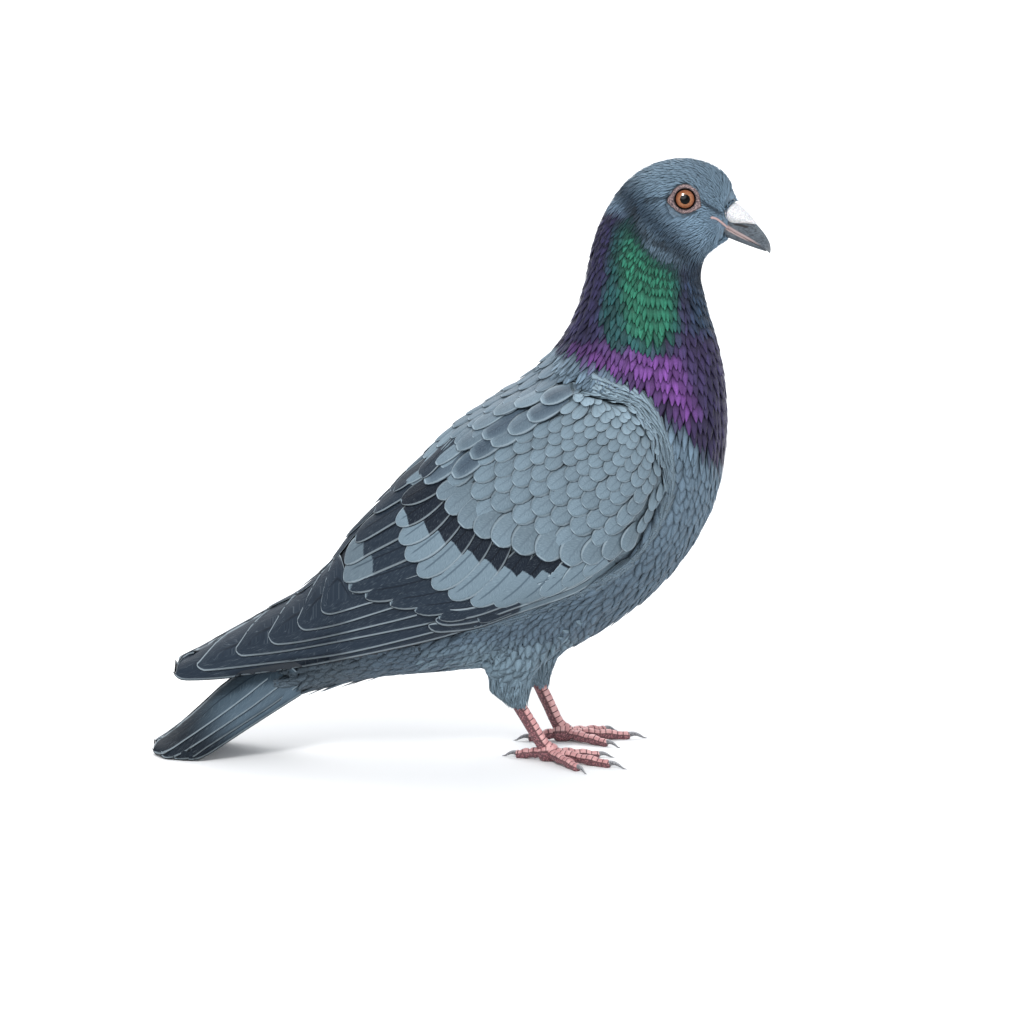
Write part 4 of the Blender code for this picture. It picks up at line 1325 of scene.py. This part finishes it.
def tail_top():
    """The right half of the tail's upper feathers, the middle one on top."""
    crest = skyline(TAIL_ONLY, np.arange(-121, -50, 1.0), np.arange(-4, 55, 0.3))
    points, across = laid(
        TAIL_ONLY, TAIL_TOP, crest, lambda x: 40 + 0 * x, (3, 8, 9, 9), (0.65, 0.48, 0.31, 0.14), rows=26
    )
    return darkening(coloured(points, (TAIL_GREY, TAIL_GREY, TAIL_END), 1.2, 1.2, across=across))


def tail_under():
    """The right half of its lower feathers."""
    pair = np.arange(6)
    across = (pair + 0.5) / 6 * 0.96
    start, middle = on_tail(-55.5 - 0.6 * pair, across * 0.85), on_tail(-92 + 0 * pair, across)
    end = on_tail(-119.6 + 0.36 * pair**2, across)
    run = np.linalg.norm(middle - start, axis=1) + np.linalg.norm(end - middle, axis=1)
    points = vanes(
        TAIL_ONLY, to_row(start), middle - start, run + 0.5, 13.0, blade_shape, rows=24, cols=6,
        sink=0.8, lift=np.linspace(0.1, 0.5, 6), camber=0.03, roll=0.28, curl=1.0,
    )
    return darkening(coloured(points, (TAIL_GREY, TAIL_GREY, TAIL_END), 1.2, 1.2))


def vent_feathers():
    """A few loose feathers under the tail's root."""
    count = 14
    x = rng.uniform(-62, -20, count)
    y = -rng.uniform(0, 9, count)
    here = HULL.cast(to_row(together(x, y, 0 * x - 5)), UP)
    here = here[~np.isnan(here[:, 0])]
    way = np.tile((-1.0, 0, -0.3), (len(here), 1)) + rng.normal(0, 0.1, (len(here), 3))
    length = jitter(np.full(len(here), 17.0), 0.2)
    points = vanes(
        HULL, here, unit(way), length, 4.6, lance_shape, rows=6, cols=2, sink=1.0, lift=1.6, camber=0.1
    )
    tint = flecked(np.tile(UNDERTAIL, (len(here), 1)), 0.2)
    uvs = np.clip(together(0.5 + here[:, 1] * 8, 0.9 + here[:, 0]), 0.02, 0.98)
    return feathers(points, tint, uvs)


# ---------------------------------------------------------------- bare parts
def lofted(name, rings, material, mark=None, ring_closed=False):
    """A closed tube through rings (n, m, 3), fanned shut at its ends, or joined end to end."""
    n, m = rings.shape[:2]
    index = np.arange(n * m).reshape(n, m)
    ahead = np.roll(index, -1, 1)
    verts, faces = rings.reshape(-1, 3), []
    if ring_closed:
        index, ahead = np.vstack([index, index[:1]]), np.vstack([ahead, ahead[:1]])
    else:
        verts = np.concatenate([verts, rings[:1].mean(1), rings[-1:].mean(1)])
        faces = [
            together(np.full(m, n * m), ahead[0], index[0]),
            together(np.full(m, n * m + 1), index[-1], ahead[-1]),
        ]
    faces.insert(0, together(index[:-1], ahead[:-1], ahead[1:], index[1:]).reshape(-1, 4))
    tris = np.concatenate([faces[0][:, :3], faces[0][:, [0, 2, 3]], *faces[1:]])
    corner = verts[tris] - verts.mean(0)
    if dot(corner[:, 0], np.cross(corner[:, 1], corner[:, 2])).sum() < 0:
        faces = [f[:, ::-1] for f in faces]
    attributes = {}
    if mark is not None:
        ends = [] if ring_closed else [mark[:1].mean(1), mark[-1:].mean(1)]
        attributes["vane"] = np.concatenate([mark.reshape(-1, 3), *ends])
    piece = make_mesh(name, verts, faces, attributes=attributes)
    piece.data.materials.append(material)
    return piece


def eye_axis(sign):
    tilt = math.radians(EYE_TILT)
    return np.array([0, sign * math.cos(tilt), math.sin(tilt)]), np.array([1.0, 0, 0]), np.array(
        [0, -sign * math.sin(tilt), math.cos(tilt)]
    )


def build_eye(side, sign, material):
    out, ahead, up = eye_axis(sign)
    polar = np.radians(np.concatenate([np.linspace(0.5, 60, 60), np.linspace(66, 150, 15)]))[:, None, None]
    turn = np.linspace(0, 2 * np.pi, 96, endpoint=False)[None, :, None]
    radius = (EYE_RADIUS - 0.1) * (1 + 0.05 * np.clip(np.cos(polar * 1.9), 0, 1) ** 1.5)
    rings = radius * (np.cos(polar) * out + np.sin(polar) * (np.cos(turn) * ahead + np.sin(turn) * up))
    mark = np.broadcast_to(EYE_RADIUS * np.sin(polar) + 6 * (polar > 1.4), (75, 96, 1))
    around = np.broadcast_to(turn / 2 / np.pi, mark.shape)
    centre = EYE * (1, sign, 1)
    mark = np.concatenate([mark, around, 0 * mark], -1)
    return lofted("eye_ball_" + side, to_row(rings + centre), material, mark)


def eye_material():
    m = Nodes("iris", Roughness=0.3, Specular_IOR_Level=0.0, Coat_Roughness=0.03, Coat_IOR=1.8)
    r, around, _ = m.parts()
    streak = m.noise(2600.0, 3.0)
    colour = m.mix(m.range(r, 2.0, 3.5), (0.27, 0.114, 0.054), (0.165, 0.050, 0.022))
    colour = m.mix(m.times(m.range(streak, 0.45, 0.62), 0.4), colour, (0.36, 0.165, 0.085))
    colour = m.mix(m.times(m.range(streak, 0.48, 0.36), 0.45), colour, (0.10, 0.03, 0.012))
    colour = m.mix(m.range(r, 3.35, 3.65), colour, (0.004, 0.003, 0.003))
    colour = m.mix(m.range(r, 1.98, 1.84), colour, (0.0, 0.0, 0.0))
    # the wet eye is glossiest above and behind the pupil
    turn = m.times(around, 2 * math.pi)
    aside = m.plus(m.times(r, m.math("COSINE", turn)), 0.75)
    above = m.minus(m.times(r, m.math("SINE", turn)), 1.2)
    off = m.math("SQRT", m.plus(m.times(aside, aside), m.times(above, above)))
    m.put(m.shader.inputs["Coat Weight"], m.range(off, 1.5, 0.8, 0.12, 1.0))
    return m.finish(colour)


def build_lid(side, sign, material):
    """The bare ring of skin round the eye, drawn out to a corner behind and one in front."""
    out, ahead, up = eye_axis(sign)
    count, section = 144, 9
    turn = np.linspace(0, 2 * np.pi, count, endpoint=False)
    reach = np.full(count, 5.75)
    for corner, extra in ((math.radians(187), 1.55), (math.radians(-27), 1.35)):
        off = np.abs((turn - corner + np.pi) % (2 * np.pi) - np.pi)
        reach += extra * np.clip(1 - off / 0.55, 0, 1) ** 1.35
    centre = EYE * (1, sign, 1)
    rim = np.cos(turn)[:, None] * ahead + np.sin(turn)[:, None] * up
    inner = math.asin(LID_OPENING / EYE_RADIUS)
    start = centre + (EYE_RADIUS + 0.12) * (math.cos(inner) * out + math.sin(inner) * rim)
    far = centre + rim * reach[:, None] + out * 2.5
    hit = HULL.cast(to_row(far + out * 20), -out)
    end = to_bird(hit) + out * 0.12
    t = np.linspace(0, 1, section)[None, :, None]
    rise = 0.85 * np.sin(np.pi * t) ** 0.8 * (1 - 0.35 * t)
    beads = 0.10 * np.sin(turn * 44)[:, None, None] * np.sin(np.pi * t) * np.cos(3.5 * np.pi * t)
    top = start[:, None] * (1 - t) + end[:, None] * t + out * (rise + beads)
    low = top[:, ::-1] - out * 0.9
    rings = np.concatenate([top, low], 1)
    across = np.concatenate([np.linspace(0, 1, section), np.linspace(1, 0, section)])
    mark = together(across[None], turn[:, None] / 2 / np.pi, 0.0)
    return lofted("eye_ring_" + side, to_row(rings), material, mark, ring_closed=True)


def lid_material():
    m = Nodes("eye_ring", Roughness=0.55)
    across = m.parts()[0]
    cells = m.cells(2900.0)
    colour = m.mix(m.range(cells, 0.15, 0.55), (0.60, 0.42, 0.40), (0.060, 0.038, 0.044))
    colour = m.mix(m.range(across, 0.20, 0.06), colour, (0.010, 0.008, 0.009))
    colour = m.mix(m.range(across, 0.84, 0.96), colour, (0.012, 0.014, 0.018))
    return m.finish(colour, m.range(cells, 0.7, 0.1), 0.0002, 0.8)


BILL_BASE, BILL_DROOP = np.array([105.3, 0, 211.4]), math.radians(37)
BILL_ALONG = np.array([math.cos(BILL_DROOP), 0, -math.sin(BILL_DROOP)])
BILL_UP = np.array([math.sin(BILL_DROOP), 0, math.cos(BILL_DROOP)])
# distance along the bill, top, bottom and half width
UPPER_BILL = [
    (-5.5, 3.6, -3.4, 3.0), (-2, 4.2, -3.5, 3.2), (1, 4.5, -3.5, 3.2), (4, 4.5, -3.2, 2.95),
    (8, 4.15, -2.6, 2.5), (12, 3.35, -2.1, 2.05), (15, 2.35, -1.8, 1.65), (17.3, 1.1, -1.7, 1.2),
    (18.7, -0.2, -1.85, 0.75), (19.35, -1.1, -2.1, 0.36),
]
LOWER_BILL = [
    (-5.5, -3.6, -7.3, 2.8), (-2, -3.6, -7.3, 2.9), (1, -3.6, -7.1, 2.75), (5, -3.15, -6.2, 2.35),
    (10, -2.5, -4.8, 1.85), (14, -2.0, -3.6, 1.35), (16.6, -1.85, -2.7, 0.9), (17.8, -1.9, -2.3, 0.4),
]
CERE = [
    (-5.9, 2.6, 0.2, 2.2), (-5.0, 4.4, -1.2, 4.1), (-3.4, 5.8, -1.9, 5.2), (-1.4, 6.25, -1.8, 5.6),
    (0.6, 6.2, -1.1, 5.5), (2.8, 5.85, 0.5, 4.9), (5.0, 5.35, 2.1, 4.0), (7.0, 4.85, 3.2, 2.7),
    (8.2, 4.4, 3.9, 1.3),
]


def bill_part(name, table, kind, material):
    """A part of the bill from its stations. kind shapes its cross-section."""
    rows = catmull(table, 8 * (len(table) - 1) + 1)
    turn = np.linspace(0, 2 * np.pi, 56, endpoint=False)
    t, top, bottom, half = (rows[:, k, None] for k in range(4))
    c, s = np.cos(turn), np.sin(turn)
    middle, tall = (top + bottom) / 2, (top - bottom) / 2
    if kind == "upper":
        # a roof over a flat floor, with straight cutting edges
        lift = np.where(s > 0, s, 0)
        height = bottom + (top - bottom) * lift**0.85
        side = half * np.sign(c) * np.abs(c) ** 0.75
        side = side * (1 - 0.10 * np.exp(-(((s - 0.35) / 0.2) ** 2)) * (t > 1))
    elif kind == "lower":
        lift = np.where(s < 0, -s, 0)
        height = top - (top - bottom) * lift**0.9
        side = half * np.sign(c) * np.abs(c) ** 0.75
    else:
        groove = 0.10 * np.exp(-(((turn - np.pi / 2) / 0.22) ** 2)) * smooth(t, -5, -2)
        height = middle + tall * s * (1 - groove)
        side = half * np.sign(c) * np.abs(c) ** 0.9
    points = BILL_BASE + t[..., None] * BILL_ALONG + height[..., None] * BILL_UP
    points = points + side[..., None] * np.array([0, 1.0, 0])
    level = (height - bottom) / np.maximum(top - bottom, 0.05)
    mark = together(t, level, height)
    return lofted(name, to_row(points), material, mark)


def bill_material(lower):
    m = Nodes("bill_lower" if lower else "bill_upper", Roughness=0.42)
    t, level, height = m.parts()
    stretched = m.add("Mapping")
    m.put(stretched.inputs["Vector"], m.add("TexCoord").outputs["Object"])
    stretched.inputs["Rotation"].default_value = (0, BILL_DROOP, 0)
    stretched.inputs["Scale"].default_value = (0.22, 1.0, 1.0)
    streak = m.noise(3600.0, 3.0, stretched.outputs[0])
    colour = m.mix(m.range(streak, 0.36, 0.62), (0.022, 0.029, 0.038), (0.082, 0.102, 0.122))
    if lower:
        colour = m.mix(m.range(level, 0.45, 0.05), colour, (0.05, 0.062, 0.075))
        edge = m.times(m.range(level, 0.72, 0.86), m.range(t, 12.0, 6.0))
    else:
        # painted highlight: paler along the top of the upper bill
        colour = m.mix(m.times(m.range(level, 0.86, 1.0), 0.5), colour, (0.15, 0.18, 0.205))
        colour = m.mix(m.times(m.range(t, 15.5, 19.2), 0.5), colour, (0.17, 0.18, 0.19))
        edge = m.times(m.range(level, 0.17, 0.08), m.range(t, 16.0, 9.0))
        # painted shade: the nostril's narrow opening, under the cere's edge, is painted dark with no groove
        # in the shape
        line = m.plus(-1.1, m.times(t, 0.40))
        off = m.math("ABSOLUTE", m.minus(height, line))
        reach = m.times(m.range(t, 0.3, 1.6), m.range(t, 7.0, 5.8))
        slit = m.times(m.range(off, 0.62, 0.34), reach)
        colour = m.mix(slit, colour, (0.006, 0.006, 0.008))
    colour = m.mix(edge, colour, (0.36, 0.27, 0.26))
    return m.finish(colour, streak, 0.0001, 0.5)


def cere_material():
    m = Nodes("cere", Roughness=0.7, Subsurface_Weight=0.1, Subsurface_Scale=0.001)
    fine, coarse = m.noise(5200.0, 2.0), m.noise(1700.0, 3.0)
    colour = m.mix(m.range(coarse, 0.40, 0.62), (0.50, 0.50, 0.51), (0.72, 0.72, 0.73))
    colour = m.mix(m.times(m.range(fine, 0.44, 0.34), 0.6), colour, (0.30, 0.29, 0.30))
    return m.finish(colour, fine, 0.00012, 0.6)


def build_gape(side, sign, material):
    """The pale fold of skin that runs from the corner of the mouth along the bill's edge."""
    places = (96.4, 207.1), (98.2, 206.9), (100.2, 205.8), (102.2, 204.3), (104.4, 202.5), (106.6, 200.8)
    line = catmull(places, 40)
    hit = HULL.cast(to_row(in_picture(line) - AWAY * 80), AWAY)
    centre = hit[~np.isnan(hit[:, 0])] * (1, -sign, 1)
    n = len(centre)
    t = np.linspace(0, 1, n)[:, None, None]
    ahead = unit(np.gradient(centre, axis=0))
    out = np.tile((0, sign * 1.0, 0), (n, 1))
    up = unit(np.cross(ahead, out))
    turn = np.linspace(0, 2 * np.pi, 12, endpoint=False)[None, :, None]
    thick = 0.46 * MM * np.sqrt(np.clip(1 - (2 * t - 1) ** 6, 0.02, 1)) * (1 + 0.5 * smooth(t, 0.22, 0.1))
    rings = centre[:, None] + thick * (np.cos(turn) * out[:, None] * 0.9 + np.sin(turn) * up[:, None])
    return lofted("gape_" + side, rings, material)


ANKLE, FOOT = np.array([19.9, 0, 27.0]), np.array([34.0, 0, 3.2])
LEFT_AHEAD = {"ankle": 8.6, "foot": 5.8}
FOOT_SIDE, THIGH_SIDE = 16.5, 18.0
TOES = {"middle": (2, 27, 7), "inner": (-34, 20.5, 6), "outer": (33, 21.5, 6), "hind": (178, 13.5, 6)}
TOE_OUT = {"right": 24, "left": 4}
TOE_PADS = 3


def bar(name, centres, upright, level, material, scute, first, pads=0.0, plate=0.42):
    """A scaly bar through centres, with scutes over plate of its top or front, and pads under it."""
    centres = np.asarray(centres, float)
    n = len(centres)
    ahead = unit(np.gradient(centres, axis=0))
    side = unit(np.cross(ahead, (0, 0, 1.0)))
    above = np.cross(side, ahead)
    run = np.concatenate([[0], np.cumsum(np.linalg.norm(np.diff(centres, axis=0), axis=1))])
    turn = np.linspace(0, 2 * np.pi, 40, endpoint=False)
    upright, level = np.broadcast_to(upright, n), np.broadcast_to(level, n)
    index = run / scute + first
    beat = index % 1.0
    ridge = 0.10 * (np.abs(np.sin(np.pi * beat)) ** 0.35 - 0.7)
    top = smooth(np.cos(turn), math.cos(math.pi * plate), math.cos(math.pi * plate) + 0.3)
    under = smooth(-np.cos(turn), 0.2, 0.9)
    swell = pads * np.cos(2 * np.pi * TOE_PADS * np.linspace(0, 1, n))
    grow = 1 + ridge[:, None] * top[None] + swell[:, None] * under[None]
    fine = 0.012 * np.sin(run[:, None] * 9 + 3 * np.sin(turn * 7)[None]) * (1 - top)[None]
    grow = grow + fine
    rings = (
        centres[:, None]
        + above[:, None] * (upright[:, None] * np.cos(turn) * grow)[..., None]
        + side[:, None] * (level[:, None] * np.sin(turn) * grow)[..., None]
    )
    rings[..., 2] = np.maximum(rings[..., 2], 0.0)
    angle = np.abs((turn + np.pi) % (2 * np.pi) - np.pi) / np.pi
    mark = together(index[:, None], angle[None] / plate, 0.0)
    return lofted(name, to_row(rings), material, mark)


def scaly_material():
    m = Nodes("scaly_skin", Roughness=0.5)
    along, angle, _ = m.parts()
    part = m.math("FRACT", along)
    near = m.math("MINIMUM", part, m.minus(1.0, part))
    crack = m.range(near, 0.11, 0.03)
    plate = m.range(angle, 1.0, 0.88)
    rim = m.times(m.range(angle, 0.80, 0.92), m.range(angle, 1.12, 1.0))
    cells = m.cells(1500.0)
    beads = m.mix(m.range(cells, 0.15, 0.65), (0.34, 0.135, 0.145), (0.105, 0.040, 0.048))
    blush = m.noise(260.0, 2.0)
    scutes = m.mix(m.range(blush, 0.4, 0.65), (0.50, 0.235, 0.235), (0.66, 0.37, 0.36))
    scutes = m.mix(crack, scutes, (0.055, 0.020, 0.024))
    colour = m.mix(plate, beads, scutes)
    colour = m.mix(m.times(rim, 0.75), colour, (0.07, 0.026, 0.03))
    height = m.minus(m.times(plate, 1.2), m.times(crack, 1.0))
    height = m.minus(height, m.times(cells, 0.5))
    return m.finish(colour, height, 0.00025, 0.7)


def claw_material():
    m = Nodes("claw", Roughness=0.35)
    angle = m.parts()[1]
    streak = m.noise(2200.0, 2.0)
    colour = m.mix(m.range(streak, 0.35, 0.65), (0.060, 0.060, 0.066), (0.24, 0.24, 0.25))
    # painted highlight: paler along the claw's top
    colour = m.mix(m.times(m.range(angle, 1.1, 0.25), 0.6), colour, (0.42, 0.42, 0.44))
    return m.finish(colour, streak, 0.00005, 0.4)


def build_leg(side, sign, scaly, horn):
    """Shank, pad, toes and claws, each in its solid's place. Returns (piece, node) pairs."""
    left = side == "left"
    ankle = ANKLE + (LEFT_AHEAD["ankle"] * left, sign * THIGH_SIDE, 0)
    foot = FOOT + (LEFT_AHEAD["foot"] * left, sign * FOOT_SIDE, 0)
    found = []
    # bends into the pad a little, so that the front runs on over the foot
    knee = ankle + (ankle - foot) * 0.12
    middle, low = ankle * 0.5 + foot * 0.5, ankle * 0.15 + foot * 0.85
    line = catmull([knee, ankle, middle, low, foot + (1.8, 0, 0.2)], 90)
    wide = np.interp(np.linspace(0, 1, 90), (0, 0.3, 0.7, 1), (1.1, 0.98, 0.98, 1.2))
    leg = bar("leg_" + side, line, 2.6 * wide, 2.1 * wide, scaly, scute=2.35, first=0.3, plate=0.5)
    found.append((leg, "shank_" + side))
    xs = np.linspace(-1, 1, 40)
    shape = np.sqrt(np.clip(1 - np.abs(xs) ** 2.4, 0.03, 1))
    line = foot + together(xs * 4.3, 0 * xs, 0.0 * xs)
    pad = bar("pad_" + side, line, 3.75 * shape, 3.6 * shape, scaly, scute=1.9, first=0.2)
    found.append((pad, "foot_" + side))
    for name, (spread, length, claw_length) in TOES.items():
        heading = sign * math.radians(spread + TOE_OUT[side])
        ahead = np.array([math.cos(heading), math.sin(heading), 0])
        t = np.linspace(0, 1, 110)
        radius = 2.05 * (1.04 - 0.2 * t) * (1 + 0.07 * np.cos(6 * np.pi * t))
        height = radius - 0.35 + 1.9 * (1 - t) ** 3 + 0.5 * np.sin(np.pi * t) ** 2
        end = np.sqrt(np.clip(1 - ((t - 0.93) / 0.07) ** 2 * (t > 0.93), 0.05, 1))
        height = height - 0.3 * smooth(t, 0.85, 1)
        line = foot * (1, 1, 0) + ahead * (1.5 + (length - 1.5) * t)[:, None] + UP * height[:, None]
        called = f"toe_{name}_skin_{side}"
        toe = bar(called, line, radius * end, radius * end * 0.94, scaly, scute=2.3, first=0.15, pads=0.05)
        found.append((toe, f"toe_{name}_{side}"))
        start = line[-1] - ahead * 1.6 + (0, 0, 0.3)
        q = np.linspace(0, 1, 40)
        bow = 0.95 * np.sin(np.pi * np.minimum(q * 1.25, 1.0))
        level = start[2] * (1 - q) + 0.15 * q + bow
        line = start * (1, 1, 0) + ahead * ((claw_length + 1.6) * q)[:, None] + UP * level[:, None]
        taper = (1 - 0.97 * q**1.25) * 1.15
        claw = bar(f"claw_{name}_horn_{side}", line, taper, taper * 0.78, horn, scute=30.0, first=0.3)
        found.append((claw, f"claw_{name}_{side}"))
    return found


# ---------------------------------------------------------------- stage
CAMERA_AWAY, CAMERA_WIDTH, SENSOR = 3.0, 0.39936, 36
# place, what it is aimed at, size and power
LIGHTS = {
    "key": ((-0.40, -1.15, 1.25), (0, 0, 0.12), 0.45, 17),
    "fill": ((1.3, -0.8, 0.7), (0, 0, 0.12), 1.2, 8),
    "rim": ((-0.3, 1.2, 1.2), (0, 0, 0.12), 0.9, 12),
    "backdrop": ((0, 2.3, 1.7), (0, 2.3, 0), 3.2, 40),
}


def build_stage():
    bpy.ops.mesh.primitive_plane_add(size=24)
    floor = bpy.context.object
    floor.name = "floor"
    pale = Nodes("floor", Roughness=0.9, Base_Color=(0.86, 0.86, 0.86, 1), Specular_IOR_Level=0.1)
    floor.data.materials.append(pale.material)
    world = bpy.data.worlds.new("studio")
    bpy.context.scene.world = world
    world.use_nodes = True
    sky = world.node_tree.nodes["Background"]
    sky.inputs["Color"].default_value = (0.93, 0.96, 1.0, 1)
    sky.inputs["Strength"].default_value = 0.85
    for name, (place, aim, size, power) in LIGHTS.items():
        light = bpy.data.lights.new(name, "AREA")
        light.size, light.energy = size, power
        lamp = bpy.data.objects.new(name, light)
        lamp.location = place
        lamp.rotation_euler = (Vector(aim) - Vector(place)).to_track_quat("-Z", "Y").to_euler()
        bpy.context.scene.collection.objects.link(lamp)
    data = bpy.data.cameras.new("camera")
    camera = bpy.data.objects.new("camera", data)
    bpy.context.scene.collection.objects.link(camera)
    bpy.context.scene.camera = camera
    bpy.context.scene.view_settings.view_transform = "Standard"
    centre = Vector(to_row((19.9, 0, 93.6 / math.cos(ELEVATION))))
    camera.location = centre + Vector((0, -math.cos(ELEVATION), math.sin(ELEVATION))) * CAMERA_AWAY
    camera.rotation_euler = (math.pi / 2 - ELEVATION, 0, 0)
    data.sensor_width = SENSOR
    data.lens = SENSOR * CAMERA_AWAY / CAMERA_WIDTH
    data.clip_end = 50


def main():
    build_stage()
    skin = build_skin()
    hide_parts(*PLUMED)
    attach(skin, "root")

    matt = {"Specular_IOR_Level": 0.25}
    soft = feather_material(
        "soft_plumage", rim=0.06, edge=0.3, shaft=0.0, barbs=0.5, barb_count=14.0, Roughness=0.7, **matt
    )
    neck = feather_material(
        "neck_plumage", rim=0.2, edge=1.0, shaft=0.2, barbs=0.45, pale=(1.8, 1.8, 1.8), tip_at=0.7,
        rim_at=0.55, Roughness=0.45, Metallic=0.25, **matt,
    )
    covert = feather_material("wing_plumage", rim=0.6, edge=1.0, shaft=0.25, barbs=0.4, Roughness=0.6, **matt)
    flight = feather_material(
        "flight_plumage", rim=0.9, edge=1.0, shaft=0.7, barbs=0.4, barb_count=60, tip_at=0.955, rim_at=0.77,
        barred=True, Roughness=0.55, Specular_IOR_Level=0.12,
    )

    pieces = [
        (plumage("head_feathers", [head_feathers()], soft), "head_plumage"),
        (plumage("neck_feathers", [neck_feathers()], neck), "neck_plumage"),
        (plumage("body_feathers", [body_feathers()], soft), "breast_plumage"),
        (plumage("mantle_feathers", [mantle()], covert), "wing_plumage"),
    ]
    flank = flank_feathers()
    for side, sign, turned in (("right", -1, flank), ("left", 1, mirrored(flank))):
        groups = [thigh_feathers(side, sign), turned]
        pieces.append((plumage("thigh_feathers_" + side, groups, soft), "breast_plumage"))
    pieces.append((plumage("vent_feathers", [vent_feathers()], soft), "rump_plumage"))
    small = [covert_lattice(), median_coverts(), scapulars(), *edge_feathers()]
    big = [greater_coverts(), tertials(), edge_coverts(), primaries()]
    tail = [tail_top(), tail_under()]
    for groups in (big, tail):
        middle, size = islands(sum(len(g["points"]) for g in groups), 12, (0.01, 0.01, 0.99, 0.99))
        start = 0
        for group in groups:
            count = len(group["points"])
            group["root_uv"], group["patch"] = middle[start : start + count], size
            start += count
    for side, turn in (("right", lambda g: g), ("left", mirrored)):
        pieces.append((plumage("wing_coverts_" + side, [turn(g) for g in small], covert), "wing_plumage"))
        pieces.append((plumage("flight_feathers_" + side, [turn(g) for g in big], flight), "flight_plumage"))
        pieces.append((plumage("tail_feathers_" + side, [turn(g) for g in tail], flight), "tail_plumage"))

    iris, lid, horn, scaly = eye_material(), lid_material(), claw_material(), scaly_material()
    waxy = cere_material()
    fold = Nodes("gape", Roughness=0.5, Base_Color=(0.40, 0.27, 0.26, 1)).material
    bare = [
        (bill_part("bill_upper_horn", UPPER_BILL, "upper", bill_material(False)), "bill_upper", "bill"),
        (bill_part("bill_lower_horn", LOWER_BILL, "lower", bill_material(True)), "bill_lower", "bill"),
        (bill_part("cere_dome", CERE, "cere", waxy), "cere", "cere"),
    ]
    for side, sign in (("right", -1), ("left", 1)):
        bare.append((build_eye(side, sign, iris), "eye_" + side, "eye"))
        bare.append((build_lid(side, sign, lid), "eyelid_" + side, "eyelid"))
        pieces.append((build_gape(side, sign, fold), "eyelid"))
        for piece, node in build_leg(side, sign, scaly, horn):
            bare.append((piece, node, "claw" if node.startswith("claw") else "scaly_skin"))
    for piece, node, slot in bare:
        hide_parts(node)
        pieces.append((piece, slot))
    for piece, slot in pieces:
        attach(piece, "root")
        print("piece", piece.name, sum(len(p.vertices) - 2 for p in piece.data.polygons))


main()
